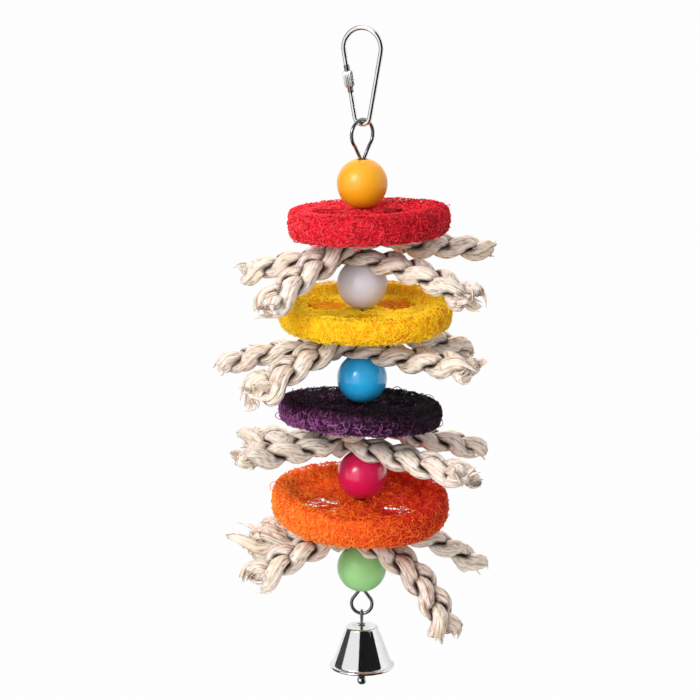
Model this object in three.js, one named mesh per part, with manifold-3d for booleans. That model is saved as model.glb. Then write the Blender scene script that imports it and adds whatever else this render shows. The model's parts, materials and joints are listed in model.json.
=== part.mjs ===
// Loofah bird toy: loofah slices, plaited husk braids and wooden beads threaded on one wire,
// hung from a pear-shaped quick link, with a small bell below.
// Millimetres, +Z up, +X to the right of the front view, which looks along +Y.
// The origin is the point inside the top of the link where the bar of a cage carries the toy.

import * as THREE from 'three';
import { mergeVertices } from 'three/addons/utils/BufferGeometryUtils.js';
import Module from 'manifold-3d';

const wasm = await Module();
wasm.setup();

const deg = THREE.MathUtils.degToRad;

// Clearances
const SEAT_GAP = 0.3; // between pieces that rest on each other
const BORE_CLEARANCE = 0.4; // round the wire in a drilled or pierced hole
const SLEEVE_CLEARANCE = 0.3; // between the sleeve nut's bore and the rod

// Quick link: a pear-shaped rod whose gap is closed by a sleeve nut
const LINK_ROD = 2;
const LINK_INSIDE_LENGTH = 35.6;
const LINK_TOP_RADIUS = 8; // to the middle of the rod
const LINK_FOOT_RADIUS = 3.2; // to the middle of the rod
const LINK_TURN = deg(-25); // about Z, right leg towards the front
const LINK_GAP = 3.8;
const SLEEVE_LENGTH = 6.5;
const SLEEVE_FLATS = 6;
const SLEEVE_ACROSS_FLATS = 4;
const SLEEVE_CHAMFER = 0.4;
const SLEEVE_FALL = 10.9; // middle of the sleeve, down the straight leg from the top bend

// Wire: one length with an eye at each end, whose tails are tucked into the end beads
const WIRE_D = 1.4;
const STRAND_SPACE = 0.5; // between the two strands where they enter a bead
const WIRE_TAIL = 7; // length of each tail inside its bead
const WIRE_EASE = 6; // length in which the strand moves over to the middle of the bead
const TOP_EYE_LENGTH = 16.1; // outside, from the bead to the top of the eye
const TOP_EYE_RADIUS = 5.9; // to the middle of the wire
const TOP_EYE_TURN = deg(45); // about Z, right strand towards the back
const FOOT_EYE_LENGTH = 10.6;
const FOOT_EYE_RADIUS = 4.2;
const FOOT_EYE_TURN = deg(-8);

// Wooden beads, from the top down
const BEAD_D = 20;
const BEADS = ['yellow', 'white', 'blue', 'magenta', 'green'];

// Loofah slices: a fibrous ring round a core that has shrunk from both sides, with three seed chambers
const SLICE_RING_WIDTH = 9;
const SLICE_CREST = 4; // from the outside to where the ring's top starts to slope down to the core
const SLICE_EDGE = 1.6; // rounding of the ring's edges
const SLICE_BULGE = 0.6; // how far the side swells at mid height
const SLICE_WAVE = 0.5; // unevenness of the outline
const SLICE_FADE = 3; // power by which unevenness and offset fade towards the wire
const HUB_WIDTH = 15; // core left between the seed chambers, across the wire
const CHAMBER_WIDTH = 17; // across the spoke of a seed chamber
const CHAMBER_RIM = 1; // core left between a chamber and the ring
const CHAMBERS = 3;
// Each slice: across its outline, through its ring, how far the core lies under the ring's top and above
// its foot, how far the outline lies to the right of the wire, and the braids under it where pressed
const RED_ACROSS = 64;
const RED_THICKNESS = 11.37;
const RED_RECESS = 0.7;
const RED_UNDERCUT = 2.5;
const RED_OFFSET = 2.2;
const RED_PRESS = 4.1;
const YELLOW_ACROSS = 69;
const YELLOW_THICKNESS = 10.27;
const YELLOW_RECESS = 4;
const YELLOW_UNDERCUT = 3.9;
const YELLOW_OFFSET = 1.2;
const YELLOW_PRESS = 5.3;
const PURPLE_ACROSS = 65;
const PURPLE_THICKNESS = 9.46;
const PURPLE_RECESS = 1.4;
const PURPLE_UNDERCUT = 2.5;
const PURPLE_OFFSET = -0.2;
const PURPLE_PRESS = 5.1;
const ORANGE_ACROSS = 71;
const ORANGE_THICKNESS = 12.15;
const ORANGE_RECESS = 4;
const ORANGE_UNDERCUT = 5.6;
const ORANGE_OFFSET = -0.8;
const ORANGE_PRESS = 4.5;
// turn is the place of the chambers; pitch lifts the back edge, roll lowers the right edge
const SLICES = [
  {
    name: 'red',
    diameter: RED_ACROSS,
    thickness: RED_THICKNESS,
    recess: RED_RECESS,
    undercut: RED_UNDERCUT,
    offset: RED_OFFSET,
    press: RED_PRESS,
    turn: deg(20),
    pitch: deg(-2),
    roll: deg(-2),
  },
  {
    name: 'yellow',
    diameter: YELLOW_ACROSS,
    thickness: YELLOW_THICKNESS,
    recess: YELLOW_RECESS,
    undercut: YELLOW_UNDERCUT,
    offset: YELLOW_OFFSET,
    press: YELLOW_PRESS,
    turn: deg(92),
    pitch: deg(3.4),
    roll: deg(0),
  },
  {
    name: 'purple',
    diameter: PURPLE_ACROSS,
    thickness: PURPLE_THICKNESS,
    recess: PURPLE_RECESS,
    undercut: PURPLE_UNDERCUT,
    offset: PURPLE_OFFSET,
    press: PURPLE_PRESS,
    turn: deg(65),
    pitch: deg(-3.8),
    roll: deg(2.4),
  },
  {
    name: 'orange',
    diameter: ORANGE_ACROSS,
    thickness: ORANGE_THICKNESS,
    recess: ORANGE_RECESS,
    undercut: ORANGE_UNDERCUT,
    offset: ORANGE_OFFSET,
    press: ORANGE_PRESS,
    turn: deg(20),
    pitch: deg(5),
    roll: deg(3),
  },
];

// Husk braids: three thick strands in a plait, flattened where the stack presses on it
const BRAID_WIDTH = 13.6;
const BRAID_THICKNESS = 8.2;
const BRAID_PRESSED_REACH = 13; // distance from the wire up to which it stays pressed
const BRAID_SWELL = 10; // length in which it swells to its full thickness
const BRAID_DROOP = 1.5; // how far the edges of a lower braid hang down over the bead
const BRAID_DROOP_REACH = 26; // distance from the wire in which that fades
const STRAND_WIDTH = 7;
const STRAND_THICKNESS = 5;
const STRANDS = 3;
const PLAIT_LENGTH = 33; // one full wave of a strand
const BRAID_DIP_EASE = 8; // length in which an arm takes up its first slope
const BRAID_HEADING_EASE = 12; // length in which an arm takes up its heading
const BRAID_STEP = 4;
const BRAIDS_PER_SLICE = 2;
// Lengths of the arms, from the wire to the tip
const RED_UPPER_LEFT = 56;
const RED_UPPER_RIGHT = 59;
const RED_LOWER_LEFT = 55;
const RED_LOWER_RIGHT = 55;
const YELLOW_UPPER_LEFT = 58;
const YELLOW_UPPER_RIGHT = 51;
const YELLOW_LOWER_LEFT = 62;
const YELLOW_LOWER_RIGHT = 50;
const PURPLE_UPPER_LEFT = 54;
const PURPLE_UPPER_RIGHT = 54;
const PURPLE_LOWER_LEFT = 56;
const PURPLE_LOWER_RIGHT = 53;
const ORANGE_UPPER_LEFT = 54;
const ORANGE_UPPER_RIGHT = 59;
const ORANGE_LOWER_LEFT = 54;
const ORANGE_LOWER_RIGHT = 58;
// Each arm has its length, its heading about Z from +X, the slope at which it leaves the slice above it, and
// the slope of its tip, down being positive
const BRAIDS = [
  {
    name: 'red_upper',
    left: { length: RED_UPPER_LEFT, heading: deg(225), leave: deg(3), tip: deg(36) },
    right: { length: RED_UPPER_RIGHT, heading: deg(30), leave: deg(1), tip: deg(12) },
  },
  {
    name: 'red_lower',
    left: { length: RED_LOWER_LEFT, heading: deg(150), leave: deg(1), tip: deg(19) },
    right: { length: RED_LOWER_RIGHT, heading: deg(-38), leave: deg(3), tip: deg(23) },
  },
  {
    name: 'yellow_upper',
    left: { length: YELLOW_UPPER_LEFT, heading: deg(218), leave: deg(5), tip: deg(30) },
    right: { length: YELLOW_UPPER_RIGHT, heading: deg(29), leave: deg(1), tip: deg(26) },
  },
  {
    name: 'yellow_lower',
    left: { length: YELLOW_LOWER_LEFT, heading: deg(158), leave: deg(1), tip: deg(21) },
    right: { length: YELLOW_LOWER_RIGHT, heading: deg(-36), leave: deg(1), tip: deg(0) },
  },
  {
    name: 'purple_upper',
    left: { length: PURPLE_UPPER_LEFT, heading: deg(214), leave: deg(10), tip: deg(0) },
    right: { length: PURPLE_UPPER_RIGHT, heading: deg(24), leave: deg(3), tip: deg(19) },
  },
  {
    name: 'purple_lower',
    left: { length: PURPLE_LOWER_LEFT, heading: deg(147), leave: deg(6), tip: deg(2) },
    right: { length: PURPLE_LOWER_RIGHT, heading: deg(-39), leave: deg(4), tip: deg(5) },
  },
  {
    name: 'orange_upper',
    left: { length: ORANGE_UPPER_LEFT, heading: deg(216), leave: deg(1), tip: deg(24) },
    right: { length: ORANGE_UPPER_RIGHT, heading: deg(23), leave: deg(1), tip: deg(43) },
  },
  {
    name: 'orange_lower',
    left: { length: ORANGE_LOWER_LEFT, heading: deg(154), leave: deg(1), tip: deg(18) },
    right: { length: ORANGE_LOWER_RIGHT, heading: deg(-30), leave: deg(1), tip: deg(66) },
  },
];

// Bell: a thin spun shell on a wire hanger, with a clapper on the hanger's hook
const BELL_CROWN_D = 13.4;
const BELL_MOUTH_D = 26.6;
const BELL_HEIGHT = 17.2;
const BELL_WALL = 0.8;
const BELL_SHOULDER = 1.2; // rounding between the crown and the skirt
const BELL_LIP_HEIGHT = 2.4;
const BELL_LIP_FLARE = 1.5;
const HANGER_WIRE = 1;
const HANGER_DROP = 5; // from the pivot in the wire's eye down to the crown
const HANGER_STRAND_SPACE = 0.3;
const HANGER_FOOT = 2.4; // length of the foot that carries the crown from inside
const HOOK_DROP = 5.4; // from the crown down to the bottom of the clapper's hook
const HOOK_RADIUS = 1.5;
const CLAPPER_WIRE = 1.1;
const CLAPPER_RING = 1.5; // radius of the clapper's ring, to the middle of its wire
const CLAPPER_BALL_D = 4;
const CLAPPER_LENGTH = 19.8; // from the bottom of the hook to the bottom of the ball

// Facets
const ROD_SIDES = 10;
const THIN_WIRE_SIDES = 8;
const BORE_SIDES = 12;
const BEAD_SIDES = 20;
const BEAD_ARC_STEPS = 8;
const SLICE_SIDES = 32;
const CHAMBER_SIDES = 18;
const PLAIT_SIDES = 10;
const BELL_SIDES = 28;
const BALL_SIDES = 12;
const BEND_STEP = deg(15);
const RUN_EASE = 3; // from a bend to the next ring of a straight run
const WELD = 1e-4;

// Derived sizes
const linkTop = LINK_ROD / 2;
const linkFoot = -LINK_INSIDE_LENGTH - LINK_ROD / 2;
const strandOffset = (WIRE_D + STRAND_SPACE) / 2;
const beadRadius = BEAD_D / 2;
const beadBore = strandOffset + WIRE_D / 2 + BORE_CLEARANCE;
const beadBoreAngle = Math.asin(beadBore / beadRadius);
const sliceCore = (slice) => slice.thickness - slice.recess;
const sliceAxis = (slice) => new THREE.Vector3(0, 0, 1).applyEuler(new THREE.Euler(slice.pitch, slice.roll, 0));
const sliceTilt = (slice) => Math.acos(sliceAxis(slice).z);

// Solids

function toSolid(geometry) {
  const bare = geometry.clone();
  bare.deleteAttribute('normal');
  bare.deleteAttribute('uv');
  const welded = mergeVertices(bare, WELD);
  return new wasm.Manifold(new wasm.Mesh({
    numProp: 3,
    vertProperties: Float32Array.from(welded.attributes.position.array),
    triVerts: Uint32Array.from(welded.index.array),
  }));
}

function fromSolid(solid) {
  const { numProp, vertProperties, triVerts } = solid.getMesh();
  const geometry = new THREE.BufferGeometry();
  const attribute = new THREE.BufferAttribute(Float32Array.from(vertProperties), numProp);
  geometry.setAttribute('position', attribute);
  geometry.setIndex(Array.from(triVerts));
  return geometry;
}

const cut = (geometry, ...tools) =>
  fromSolid(tools.reduce((solid, tool) => solid.subtract(toSolid(tool)), toSolid(geometry)));

const join = (geometry, ...others) =>
  fromSolid(others.reduce((solid, other) => solid.add(toSolid(other)), toSolid(geometry)));

// A profile of radius and height, turned about Z
function revolve(profile, sides) {
  const points = profile.map(([radius, height]) => new THREE.Vector2(radius, height));
  return new THREE.LatheGeometry(points, sides).rotateX(Math.PI / 2);
}

function uprightCylinder(radius, top, bottom) {
  const cylinder = new THREE.CylinderGeometry(radius, radius, top - bottom, BORE_SIDES);
  return cylinder.rotateX(Math.PI / 2).translate(0, 0, (top + bottom) / 2);
}

// A curve whose rings follow its points and not its length, so bends get more rings than runs
class StationCurve extends THREE.CatmullRomCurve3 {
  getUtoTmapping(u) {
    return u;
  }
}

function rod(points, diameter, sides) {
  const section = new THREE.Shape();
  section.absarc(0, 0, diameter / 2, 0, 2 * Math.PI);
  return new THREE.ExtrudeGeometry(section, {
    extrudePath: new StationCurve(points),
    steps: points.length - 1,
    curveSegments: sides / 2,
  });
}

// A point at distance across from the wire, in an upright plane turned about Z
const inPlane = (across, height, turn) =>
  new THREE.Vector3(across * Math.cos(turn), across * Math.sin(turn), height);

// Points of an arc in (across, height), from one angle to the other
function arcPoints(centre, radius, from, to) {
  const steps = Math.ceil(Math.abs(to - from) / BEND_STEP);
  return Array.from({ length: steps + 1 }, (_, i) => {
    const angle = from + ((to - from) * i) / steps;
    return [radius * Math.cos(angle), centre + radius * Math.sin(angle)];
  });
}

// Quick link

const linkTopCentre = linkTop - LINK_TOP_RADIUS;
const linkFootCentre = linkFoot + LINK_FOOT_RADIUS;
const legSpan = linkTopCentre - linkFootCentre;
const legLean = Math.asin((LINK_TOP_RADIUS - LINK_FOOT_RADIUS) / legSpan);
const legLength = legSpan * Math.cos(legLean);

// Distance down the left leg from the top bend, as (across, height)
function onLeftLeg(distance) {
  const across = -LINK_TOP_RADIUS * Math.cos(legLean) + distance * Math.sin(legLean);
  const height = linkTopCentre - LINK_TOP_RADIUS * Math.sin(legLean) - distance * Math.cos(legLean);
  return [across, height];
}

function pearLink() {
  const topBend = arcPoints(linkTopCentre, LINK_TOP_RADIUS, Math.PI + legLean, -legLean);
  const footBend = arcPoints(linkFootCentre, LINK_FOOT_RADIUS, -legLean, -Math.PI + legLean);
  const outline = [
    onLeftLeg(SLEEVE_FALL - LINK_GAP / 2),
    onLeftLeg(RUN_EASE),
    ...topBend,
    ...footBend,
    onLeftLeg(legLength - RUN_EASE),
    onLeftLeg(SLEEVE_FALL + LINK_GAP / 2),
  ];
  const points = outline.map(([across, height]) => inPlane(across, height, LINK_TURN));
  return rod(points, LINK_ROD, ROD_SIDES);
}

function sleeveNut() {
  const corner = SLEEVE_ACROSS_FLATS / 2 / Math.cos(Math.PI / SLEEVE_FLATS) - SLEEVE_CHAMFER;
  const corners = Array.from({ length: SLEEVE_FLATS }, (_, i) => {
    const angle = (2 * Math.PI * i) / SLEEVE_FLATS;
    return new THREE.Vector2(corner * Math.cos(angle), corner * Math.sin(angle));
  });
  const nut = new THREE.ExtrudeGeometry(new THREE.Shape(corners), {
    depth: SLEEVE_LENGTH - 2 * SLEEVE_CHAMFER,
    bevelThickness: SLEEVE_CHAMFER,
    bevelSize: SLEEVE_CHAMFER,
    bevelSegments: 1,
  });
  nut.translate(0, 0, SLEEVE_CHAMFER - SLEEVE_LENGTH / 2);
  const boreRadius = LINK_ROD / 2 + SLEEVE_CLEARANCE;
  const bore = uprightCylinder(boreRadius, SLEEVE_LENGTH, -SLEEVE_LENGTH);
  const [across, height] = onLeftLeg(SLEEVE_FALL);
  return cut(nut, bore)
    .rotateY(-legLean)
    .translate(across, 0, height)
    .rotateZ(LINK_TURN);
}

// The stack on the wire, worked out from the link down

const eyeTop = linkFoot + LINK_ROD / 2 + SEAT_GAP + WIRE_D / 2;
const boreSeat = beadRadius * Math.cos(beadBoreAngle);
const tiers = [];
let beadCentre = eyeTop + WIRE_D / 2 - TOP_EYE_LENGTH - beadRadius;
const firstBead = beadCentre;
for (const slice of SLICES) {
  const tilt = sliceTilt(slice);
  const contact = beadRadius * Math.cos(Math.max(0, beadBoreAngle - tilt)) + SEAT_GAP;
  const coreTop = beadCentre - contact / Math.cos(tilt);
  const coreFoot = coreTop - sliceCore(slice) / Math.cos(tilt);
  const upperTop = coreFoot - SEAT_GAP - (BRAID_WIDTH / 2) * Math.tan(tilt);
  const lowerTop = upperTop - slice.press - SEAT_GAP;
  tiers.push({ bead: beadCentre, coreTop, upperTop, lowerTop, press: slice.press, axis: sliceAxis(slice) });
  beadCentre = lowerTop - slice.press - SEAT_GAP - boreSeat;
}
const lastBead = beadCentre;
const eyeFoot = lastBead - beadRadius - FOOT_EYE_LENGTH + WIRE_D / 2;

// Half of an eye as (across, height above the bead): the tail, the neck and half of the bend
function eyeOutline(length, radius) {
  const centre = length - WIRE_D / 2 - radius;
  const reach = Math.hypot(strandOffset, centre);
  const lean = Math.atan2(strandOffset, centre);
  const start = lean - Math.acos(radius / reach);
  const bend = arcPoints(centre, radius, start, Math.PI - start);
  return [
    [strandOffset, -WIRE_TAIL],
    [strandOffset, -RUN_EASE],
    [strandOffset, 0],
    ...bend,
    [-strandOffset, 0],
    [-strandOffset, -RUN_EASE],
    [-strandOffset, -WIRE_TAIL],
  ];
}

function centreWire() {
  const topOfStack = firstBead + beadRadius;
  const footOfStack = lastBead - beadRadius;
  const topEye = eyeOutline(TOP_EYE_LENGTH, TOP_EYE_RADIUS)
    .map(([across, rise]) => inPlane(across, topOfStack + rise, TOP_EYE_TURN));
  const footEye = eyeOutline(FOOT_EYE_LENGTH, FOOT_EYE_RADIUS)
    .map(([across, rise]) => inPlane(across, footOfStack - rise, FOOT_EYE_TURN))
    .reverse();
  const stemTop = topOfStack - WIRE_TAIL - WIRE_EASE;
  const stemFoot = footOfStack + WIRE_TAIL + WIRE_EASE;
  const stem = [
    new THREE.Vector3(0, 0, stemTop),
    new THREE.Vector3(0, 0, stemTop - WIRE_EASE),
    new THREE.Vector3(0, 0, stemFoot + WIRE_EASE),
    new THREE.Vector3(0, 0, stemFoot),
  ];
  return rod([...topEye, ...stem, ...footEye], WIRE_D, ROD_SIDES);
}

// Beads

function bead() {
  const from = -Math.PI / 2 + beadBoreAngle;
  const arc = Array.from({ length: BEAD_ARC_STEPS + 1 }, (_, i) => {
    const angle = from - (2 * from * i) / BEAD_ARC_STEPS;
    return [beadRadius * Math.cos(angle), beadRadius * Math.sin(angle)];
  });
  return revolve([...arc, arc[0]], BEAD_SIDES);
}

// Loofah slices, about a local origin at the middle of the core's top

function sliceProfile(slice, radius) {
  const top = slice.recess;
  const foot = -sliceCore(slice);
  const middle = (top + foot) / 2;
  const ringInside = radius - SLICE_RING_WIDTH;
  const hub = HUB_WIDTH / 2;
  const coreUnder = foot + slice.undercut;
  const bore = WIRE_D / 2 + BORE_CLEARANCE - foot * Math.tan(sliceTilt(slice));
  return [
    [bore, foot],
    [hub, foot],
    [hub + SLICE_EDGE, coreUnder],
    [ringInside, coreUnder],
    [ringInside + SLICE_EDGE, foot],
    [radius - SLICE_EDGE, foot],
    [radius, foot + SLICE_EDGE],
    [radius + SLICE_BULGE, middle],
    [radius, top - SLICE_EDGE],
    [radius - SLICE_EDGE, top],
    [radius - SLICE_CREST, top],
    [ringInside, 0],
    [bore, 0],
    [bore, foot],
  ];
}

// The outline of a gourd is a little three-lobed and uneven, and the wire seldom hits its middle
function unevenOutline(geometry, slice, radius) {
  const position = geometry.attributes.position;
  for (let i = 0; i < position.count; i += 1) {
    const x = position.getX(i);
    const y = position.getY(i);
    const angle = Math.atan2(y, x) - slice.turn;
    const lobes = Math.cos(CHAMBERS * angle) + Math.cos((2 * CHAMBERS - 1) * angle) / 2;
    const share = (Math.hypot(x, y) / radius) ** SLICE_FADE;
    const scale = 1 + (share * SLICE_WAVE * lobes) / radius;
    position.setXY(i, x * scale + share * slice.offset, y * scale);
  }
  return geometry;
}

function seedChamber(slice, radius, angle) {
  const inner = HUB_WIDTH / 2;
  const outer = radius - SLICE_RING_WIDTH - CHAMBER_RIM;
  const outline = new THREE.Shape();
  outline.absellipse((inner + outer) / 2, 0, (outer - inner) / 2, CHAMBER_WIDTH / 2, 0, 2 * Math.PI);
  const chamber = new THREE.ExtrudeGeometry(outline, {
    depth: 2 * slice.thickness,
    bevelEnabled: false,
    curveSegments: CHAMBER_SIDES / 2,
  });
  return chamber.translate(0, 0, -sliceCore(slice) - slice.thickness / 2).rotateZ(angle);
}

function loofahSlice(slice) {
  const radius = slice.diameter / 2 - SLICE_BULGE;
  const turned = revolve(sliceProfile(slice, radius), SLICE_SIDES);
  const body = unevenOutline(turned, slice, radius);
  const chambers = Array.from({ length: CHAMBERS }, (_, i) =>
    seedChamber(slice, radius, slice.turn + Math.PI / CHAMBERS + (2 * Math.PI * i) / CHAMBERS));
  return cut(body, ...chambers);
}

// Husk braids

const smooth = (t) => THREE.MathUtils.smoothstep(t, 0, 1);

function braidThickness(distance, press) {
  const swell = smooth((distance - BRAID_PRESSED_REACH) / BRAID_SWELL);
  return press + (BRAID_THICKNESS - press) * swell;
}

// The slope at which an arm starts, which follows the tilted underside of the slice above it
function firstDip(arm, axis) {
  const fall = axis.x * Math.cos(arm.heading) + axis.y * Math.sin(arm.heading);
  return Math.atan2(fall, axis.z) + arm.leave;
}

// One arm, walked outwards from the wire along the middle of its upper face
function armStations(arm, straight, axis) {
  const start = firstDip(arm, axis);
  const count = Math.round(arm.length / BRAID_STEP);
  const step = arm.length / count;
  const point = new THREE.Vector3();
  const stations = [];
  for (let i = 0; i <= count; i += 1) {
    const distance = i * step;
    const share = distance / arm.length;
    const dip = start * Math.min(1, distance / BRAID_DIP_EASE) + (arm.tip - start) * share;
    const heading = straight + (arm.heading - straight) * smooth(distance / BRAID_HEADING_EASE);
    const ahead = new THREE.Vector3(Math.cos(heading), Math.sin(heading), 0);
    const along = ahead.clone().multiplyScalar(Math.cos(dip)).setZ(-Math.sin(dip));
    const up = ahead.clone().multiplyScalar(Math.sin(dip)).setZ(Math.cos(dip));
    stations.push({ point: point.clone(), along, up, distance });
    point.addScaledVector(along, step);
  }
  return stations;
}

// The whole braid from its left tip to its right tip, with distances negative on the left
function braidStations(braid, axis) {
  const straight = (braid.left.heading - Math.PI + braid.right.heading) / 2;
  const left = armStations(braid.left, straight + Math.PI, axis).slice(1).reverse();
  const right = armStations(braid.right, straight, axis);
  const turned = left.map(({ point, along, up, distance }) =>
    ({ point, along: along.negate(), up, distance: -distance }));
  return [...turned, ...right];
}

// Outline of the plait across its length: the hull of its strands, as (sideways, up)
function plaitSection(distance, thickness) {
  const sway = (BRAID_WIDTH - STRAND_WIDTH) / 2;
  const cross = (BRAID_THICKNESS - STRAND_THICKNESS) / 2;
  const share = thickness / BRAID_THICKNESS;
  const wide = STRAND_WIDTH / 2;
  const thick = (STRAND_THICKNESS / 2) * share;
  const centres = Array.from({ length: STRANDS }, (_, i) => {
    const phase = 2 * Math.PI * (distance / PLAIT_LENGTH + i / STRANDS);
    return [sway * Math.sin(phase), cross * share * Math.sin(2 * phase)];
  });
  return Array.from({ length: PLAIT_SIDES }, (_, i) => {
    const angle = (2 * Math.PI * (i + 0.5)) / PLAIT_SIDES;
    const [x, y] = [Math.cos(angle), Math.sin(angle)];
    const strandReach = ([sideways, up]) => sideways * x + up * y;
    const [sideways, up] = centres.reduce((far, centre) =>
      (strandReach(centre) > strandReach(far) ? centre : far));
    const support = Math.hypot(wide * x, thick * y);
    return [sideways + (wide * wide * x) / support, up + (thick * thick * y) / support];
  });
}

// Skin over a row of closed rings, with a fan over each end
function loft(rings) {
  const sides = rings[0].length;
  const vertices = rings.flat();
  const triangles = [];
  for (let r = 0; r + 1 < rings.length; r += 1) {
    for (let i = 0; i < sides; i += 1) {
      const next = (i + 1) % sides;
      const [a, b] = [r * sides + i, r * sides + next];
      const [c, d] = [a + sides, b + sides];
      triangles.push(a, b, d, a, d, c);
    }
  }
  const last = (rings.length - 1) * sides;
  for (let i = 1; i + 1 < sides; i += 1) {
    triangles.push(0, i + 1, i, last, last + i, last + i + 1);
  }
  const geometry = new THREE.BufferGeometry().setFromPoints(vertices);
  geometry.setIndex(triangles);
  return geometry;
}

function huskBraid(braid, tier, droop) {
  const rings = braidStations(braid, tier.axis).map(({ point, along, up, distance }) => {
    const fromWire = Math.abs(distance);
    const thickness = braidThickness(fromWire, tier.press);
    const sag = droop * (1 - smooth(fromWire / BRAID_DROOP_REACH));
    const sideways = new THREE.Vector3().crossVectors(up, along);
    const middle = point.clone().addScaledVector(up, -thickness / 2);
    return plaitSection(distance, thickness).map(([across, rise]) => {
      const hang = sag * ((2 * across) / BRAID_WIDTH) ** 2;
      return middle.clone().addScaledVector(sideways, across).addScaledVector(up, rise - hang);
    });
  });
  const hole = uprightCylinder(WIRE_D / 2 + BORE_CLEARANCE, BRAID_THICKNESS, -2 * BRAID_THICKNESS);
  return cut(loft(rings), hole);
}

// Bell, about a local origin at its pivot in the wire's eye, with its hanger in the YZ plane

const hangerStrand = (HANGER_WIRE + HANGER_STRAND_SPACE) / 2;
const crownHole = hangerStrand + HANGER_WIRE / 2 + SEAT_GAP;
const crownTop = -HANGER_DROP;
const bellMouth = crownTop - BELL_HEIGHT;
const hookFoot = crownTop - HOOK_DROP;

function bellShell() {
  const crown = BELL_CROWN_D / 2;
  const mouth = BELL_MOUTH_D / 2;
  const skirt = mouth - BELL_LIP_FLARE;
  const lipTop = bellMouth + BELL_LIP_HEIGHT;
  const shoulderCut = BELL_SHOULDER * (1 - Math.SQRT1_2);
  const lipMiddle = mouth - BELL_LIP_FLARE * Math.SQRT1_2;
  const lipMiddleHeight = lipTop - BELL_LIP_HEIGHT * Math.SQRT1_2;
  const outside = [
    [crownHole, crownTop],
    [crown - BELL_SHOULDER, crownTop],
    [crown - shoulderCut, crownTop - shoulderCut],
    [crown, crownTop - BELL_SHOULDER],
    [skirt, lipTop],
    [lipMiddle, lipMiddleHeight],
    [mouth, bellMouth],
  ];
  const inside = [
    [mouth - BELL_WALL, bellMouth],
    [lipMiddle - BELL_WALL, lipMiddleHeight],
    [skirt - BELL_WALL, lipTop],
    [crown - BELL_WALL, crownTop - BELL_SHOULDER - BELL_WALL / 2],
    [crown - BELL_SHOULDER - BELL_WALL / 2, crownTop - BELL_WALL],
    [crownHole, crownTop - BELL_WALL],
  ];
  const profile = [...outside, ...inside, outside[0]].reverse();
  return revolve(profile, BELL_SIDES);
}

// One wire: the foot under the crown, up through it, over the eye, down again and into the hook
function bellHanger() {
  const loop = WIRE_D / 2 + SEAT_GAP + HANGER_WIRE / 2;
  const footLevel = crownTop - BELL_WALL - SEAT_GAP - HANGER_WIRE / 2;
  const bend = HANGER_WIRE / 2;
  const hookCentre = hookFoot + HOOK_RADIUS;
  const outline = [
    [hangerStrand + HANGER_FOOT, footLevel],
    [hangerStrand + bend, footLevel],
    [hangerStrand, footLevel + bend],
    [hangerStrand, crownTop],
    ...arcPoints(0, loop, 0, Math.PI),
    [-hangerStrand, crownTop],
    [-hangerStrand, footLevel],
    ...arcPoints(hookCentre, HOOK_RADIUS, Math.PI, 2 * Math.PI + BEND_STEP),
  ];
  const points = outline.map(([across, height]) => inPlane(across, height, Math.PI / 2));
  return rod(points, HANGER_WIRE, THIN_WIRE_SIDES);
}

// A ring on the hook, a stem and a ball
function bellClapper() {
  const ringTop = hookFoot + HANGER_WIRE / 2 + SEAT_GAP + CLAPPER_WIRE / 2;
  const ringCentre = ringTop - CLAPPER_RING;
  const ballCentre = hookFoot - CLAPPER_LENGTH + CLAPPER_BALL_D / 2;
  const ring = new THREE.TorusGeometry(CLAPPER_RING, CLAPPER_WIRE / 2, THIN_WIRE_SIDES, BALL_SIDES)
    .rotateX(Math.PI / 2)
    .translate(0, 0, ringCentre);
  const stem = uprightCylinder(CLAPPER_WIRE / 2, ringCentre - CLAPPER_RING, ballCentre);
  const ball = new THREE.SphereGeometry(CLAPPER_BALL_D / 2, BALL_SIDES, BALL_SIDES / 2)
    .rotateX(Math.PI / 2)
    .translate(0, 0, ballCentre);
  return join(ring, stem, ball);
}

// Materials

const finish = (color, roughness, metalness = 0) =>
  new THREE.MeshStandardMaterial({ color, roughness, metalness });

const METALS = {
  link: finish('#b9b9b6', 0.28, 1),
  wire: finish('#c4c2bd', 0.32, 1),
  bell: finish('#c9cacb', 0.16, 1),
};
const PAINTS = {
  yellow: finish('#eda62c', 0.42),
  white: finish('#d9d0d3', 0.5),
  blue: finish('#2fa0cf', 0.24),
  magenta: finish('#cf1a4c', 0.24),
  green: finish('#8fbb80', 0.45),
};
const LOOFAH_DYES = {
  red: finish('#cf2233', 0.9),
  yellow: finish('#eab41c', 0.9),
  purple: finish('#4c2444', 0.9),
  orange: finish('#dd5726', 0.9),
};
const HUSK = finish('#d9c2b2', 0.8);

// Assembly

const toy = new THREE.Group();

function piece(parent, name, geometry, material) {
  const mesh = new THREE.Mesh(geometry, material);
  mesh.name = name;
  parent.add(mesh);
  return mesh;
}

piece(toy, 'pear_link', pearLink(), METALS.link);
piece(toy, 'link_sleeve_nut', sleeveNut(), METALS.link);
piece(toy, 'centre_wire', centreWire(), METALS.wire);

const beadHeights = [...tiers.map((tier) => tier.bead), lastBead];
BEADS.forEach((paint, i) => {
  piece(toy, `bead_${paint}`, bead(), PAINTS[paint]).position.z = beadHeights[i];
});

SLICES.forEach((slice, i) => {
  const loofah = piece(toy, `loofah_${slice.name}`, loofahSlice(slice), LOOFAH_DYES[slice.name]);
  loofah.position.z = tiers[i].coreTop;
  loofah.rotation.set(slice.pitch, slice.roll, 0);
});

BRAIDS.forEach((braid, i) => {
  const tier = tiers[Math.floor(i / BRAIDS_PER_SLICE)];
  const upper = i % BRAIDS_PER_SLICE === 0;
  const husk = piece(toy, `braid_${braid.name}`, huskBraid(braid, tier, upper ? 0 : BRAID_DROOP), HUSK);
  husk.position.z = upper ? tier.upperTop : tier.lowerTop;
});

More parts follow.
